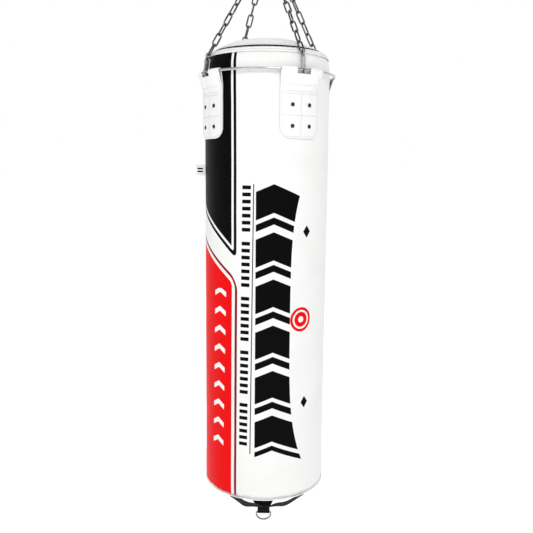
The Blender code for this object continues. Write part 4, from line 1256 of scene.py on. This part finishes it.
def make_webbing():
    cross = Mesh()
    thread = Mesh()
    steps = 60
    for n, azimuth in enumerate(STRAP_AZIMUTHS):
        turn = math.radians(STRAP_ROLL if n else -STRAP_ROLL)
        points, rolls = [], []
        for i in range(steps + 1):
            s = (RADIUS - 0.001) * math.cos(math.pi * i / steps)
            front, back = (math.exp(-((s + middle) / 0.042) ** 2) for middle in (-0.085, 0.085))
            rolls.append(turn * front + 0.5 * turn * back)
            wave = 0.0012 * smooth_noise(s, azimuth, 0.0, 0.05, 3.0)
            height = strap_z(abs(s)) - n * STRAP_WEB * 0.62 + wave * min(1.0, abs(s) / 0.05)
            points.append(radial(azimuth) * s + UP * height)
        line = relaxed(np.array([tuple(p) for p in points]), 2)
        strip(cross, line, tangent(azimuth), STRAP_WIDTH, STRAP_WEB, rolls=np.array(rolls))
        for end in (1, -1):
            out = radial(azimuth) * end
            side = tangent(azimuth)
            for back in (0.010, 0.022):
                at = RADIUS - back
                row = [out * at + side * (x * 0.016) + UP * (strap_z(at) + 0.0004) for x in (-1.0, 0.0, 1.0)]
                add_stitches(thread, [(p, UP) for p in row])
    cross.build("webbing_cross", "bag", MATS["web"], ["base_straps"])

    top = strap_z(0.0) - STRAP_WEB * 1.5 - GAP
    bar_z = top - KEEPER_DROP + STRAP_WEB + GAP + D_RING_WIRE
    bend = D_RING_WIRE + GAP + STRAP_WEB / 2
    half = D_RING_WIDTH / 2 - D_RING_WIRE - 0.001
    line = [(-0.010, top - STRAP_WEB / 2), (-bend, top - STRAP_WEB / 2 - 0.006)]
    line += arc((0.0, bar_z), bend, 180, 360, 20)
    line += [(bend, top - STRAP_WEB / 2 - 0.006), (0.010, top - STRAP_WEB / 2)]
    line = relaxed(resample([(0.0, y, z) for y, z in line], 0.0010), 1)
    keeper = Mesh()
    strip(keeper, line, Vector((1, 0, 0)), 2 * half, STRAP_WEB)
    keeper.build("webbing_loop", "bag", MATS["web"], ["ring_keeper"])
    level = strap_z(0.0) + STRAP_WEB / 2 + 0.0004
    a, b, c, d = (Vector((x, y, level)) for x, y in ((-0.015, -0.013), (0.015, -0.013), (0.015, 0.013),
                                                     (-0.015, 0.013)))
    add_stitches(thread, [(p, UP) for p in (a, b, c, d, a, c)])
    add_stitches(thread, [(p, UP) for p in (b, d)])
    for side in (-1, 1):
        y = side * (bend + STRAP_WEB / 2 + 0.0002)
        for z in (bar_z + 0.0065, bar_z + 0.012):
            row = [Vector((x * half * 0.85, y, z)) for x in (-1.0, 0.0, 1.0)]
            add_stitches(thread, [(p, Vector((0, side, 0))) for p in row])
    thread.build("webbing_stitches", "bag", MATS["black_thread"])

    w, corner = D_RING_WIDTH / 2, 0.004
    path = arc((w - corner, -corner), corner, 90, 20, 8)
    path += [(w * math.cos(a), -0.006 - (D_RING_DEPTH - 0.006) * math.sin(a))
             for a in (math.pi * i / 40 for i in range(1, 40))]
    path += arc((-w + corner, -corner), corner, 160, 90, 8)
    path += [(x, 0.0) for x in np.linspace(-w + corner, w - corner, 14)[1:-1]]
    path = np.array([(x, 0.0, z) for x, z in path])
    ring = Mesh()
    ring.add(*sweep(path, D_RING_WIRE, closed=True, sides=16), None, Matrix.Translation((0, 0, bar_z)))
    ring.build("d_ring_rod", "d_ring", MATS["steel"], ["d_ring"])


def make_label():
    """Satin flag sewn into the side.  Its two plain bars are in its material."""
    out = radial(LABEL_AZIMUTH)
    side = UP.cross(out)
    start = out * (RADIUS + 2 * GAP) + UP * (RIM_Z - LABEL_BELOW_RIM - LABEL_SIZE[1])
    rows, uv_rows = [], []
    for i in range(13):
        z = LABEL_SIZE[1] * i / 12
        row, uvs = [], []
        for j in range(17):
            f = j / 16
            sway = 0.0007 * math.sin(2.6 * f + 3.0 * i / 12) * f
            row.append(tuple(start + out * (LABEL_SIZE[0] * f) + side * sway + UP * z))
            uvs.append((LABEL_SIZE[0] * f, z))
        rows.append(row)
        uv_rows.append(uvs)
    mesh = Mesh()
    mesh.add(*grid(rows, uv_rows))
    obj = mesh.build("flag_label", "bag", MATS["label"], ["side_label"])
    solidify(obj, 0.0008)


def keep_hidden_solids():
    """The part's own solids, in new materials, for what can't be seen from outside."""
    for node, material in (("foam_liner", "foam"), ("filling_core", "rag"), ("swivel_washer", "brass")):
        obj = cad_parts[node]
        obj.data.materials.clear()
        obj.data.materials.append(MATS[material])


# ---- stage -------------------------------------------------------------------------------
def make_stage():
    floor_z = CAD_BOX[0][2] - 0.03
    size = 200.0
    mesh = bpy.data.meshes.new("floor")
    corners = ((-size, -size), (size, -size), (size, size), (-size, size))
    mesh.from_pydata([(x, y, floor_z) for x, y in corners], [], [(0, 1, 2, 3)])
    floor = bpy.data.objects.new("floor", mesh)
    bpy.context.scene.collection.objects.link(floor)
    f = Finish("pale_floor", (0.93, 0.93, 0.93), 0.9, Emission_Strength=0.44,
               Emission_Color=(1.0, 1.0, 1.0, 1.0), Specular_IOR_Level=0.0)
    f.paint((f.noise(0.6) - 0.5) * 0.5, (0.91, 0.91, 0.91))
    mesh.materials.append(f.material)

    world = bpy.data.worlds.new("studio")
    world.use_nodes = True
    tree = world.node_tree
    background = tree.nodes["Background"]
    coords = tree.nodes.new("ShaderNodeTexCoord")
    split = tree.nodes.new("ShaderNodeSeparateXYZ")
    tree.links.new(coords.outputs["Generated"], split.inputs[0])
    ramp = tree.nodes.new("ShaderNodeValToRGB")
    ramp.color_ramp.elements[0].position = 0.0
    ramp.color_ramp.elements[0].color = (0.46, 0.46, 0.465, 1.0)
    ramp.color_ramp.elements[1].position = 0.7
    ramp.color_ramp.elements[1].color = (1.0, 1.0, 1.0, 1.0)
    tree.links.new(split.outputs[1], ramp.inputs[0])
    tree.links.new(ramp.outputs[0], background.inputs["Color"])
    background.inputs["Strength"].default_value = 1.0
    bpy.context.scene.world = world

    def lamp(name, place, energy, size):
        light = bpy.data.lights.new(name, "AREA")
        light.energy = energy
        light.size = size
        obj = bpy.data.objects.new(name, light)
        obj.location = place
        aim = Vector((0.0, 0.0, (RIM_Z + SEAM_Z) / 2)) - Vector(place)
        obj.rotation_euler = aim.to_track_quat("-Z", "Y").to_euler()
        bpy.context.scene.collection.objects.link(obj)

    lamp("key", (0.7, -3.8, 1.2), 60.0, 1.6)
    lamp("fill", (-2.0, -3.1, 0.2), 20.0, 2.2)
    lamp("top", (0.3, 0.2, 2.6), 22.0, 2.0)

    camera = bpy.data.cameras.new("camera")
    camera.sensor_width = 36.0
    camera.lens = 45.48
    obj = bpy.data.objects.new("camera", camera)
    pitch, roll = math.radians(90.0 - 8.05), math.radians(0.5)
    matrix = Matrix.Rotation(pitch, 4, "X") @ Matrix.Rotation(roll, 4, "Z")
    matrix.translation = Vector((0.0026, -1.946, RIM_Z - 0.315))
    obj.matrix_world = matrix
    bpy.context.scene.collection.objects.link(obj)
    bpy.context.scene.camera = obj
    bpy.context.scene.view_settings.view_transform = "Standard"


make_stage()
make_shell()
make_hem()
make_lid_and_base()
make_zip()
make_tabs()
make_hoop()
make_snap_hooks()
make_chains()
make_top_fittings()
make_webbing()
make_label()
keep_hidden_solids()
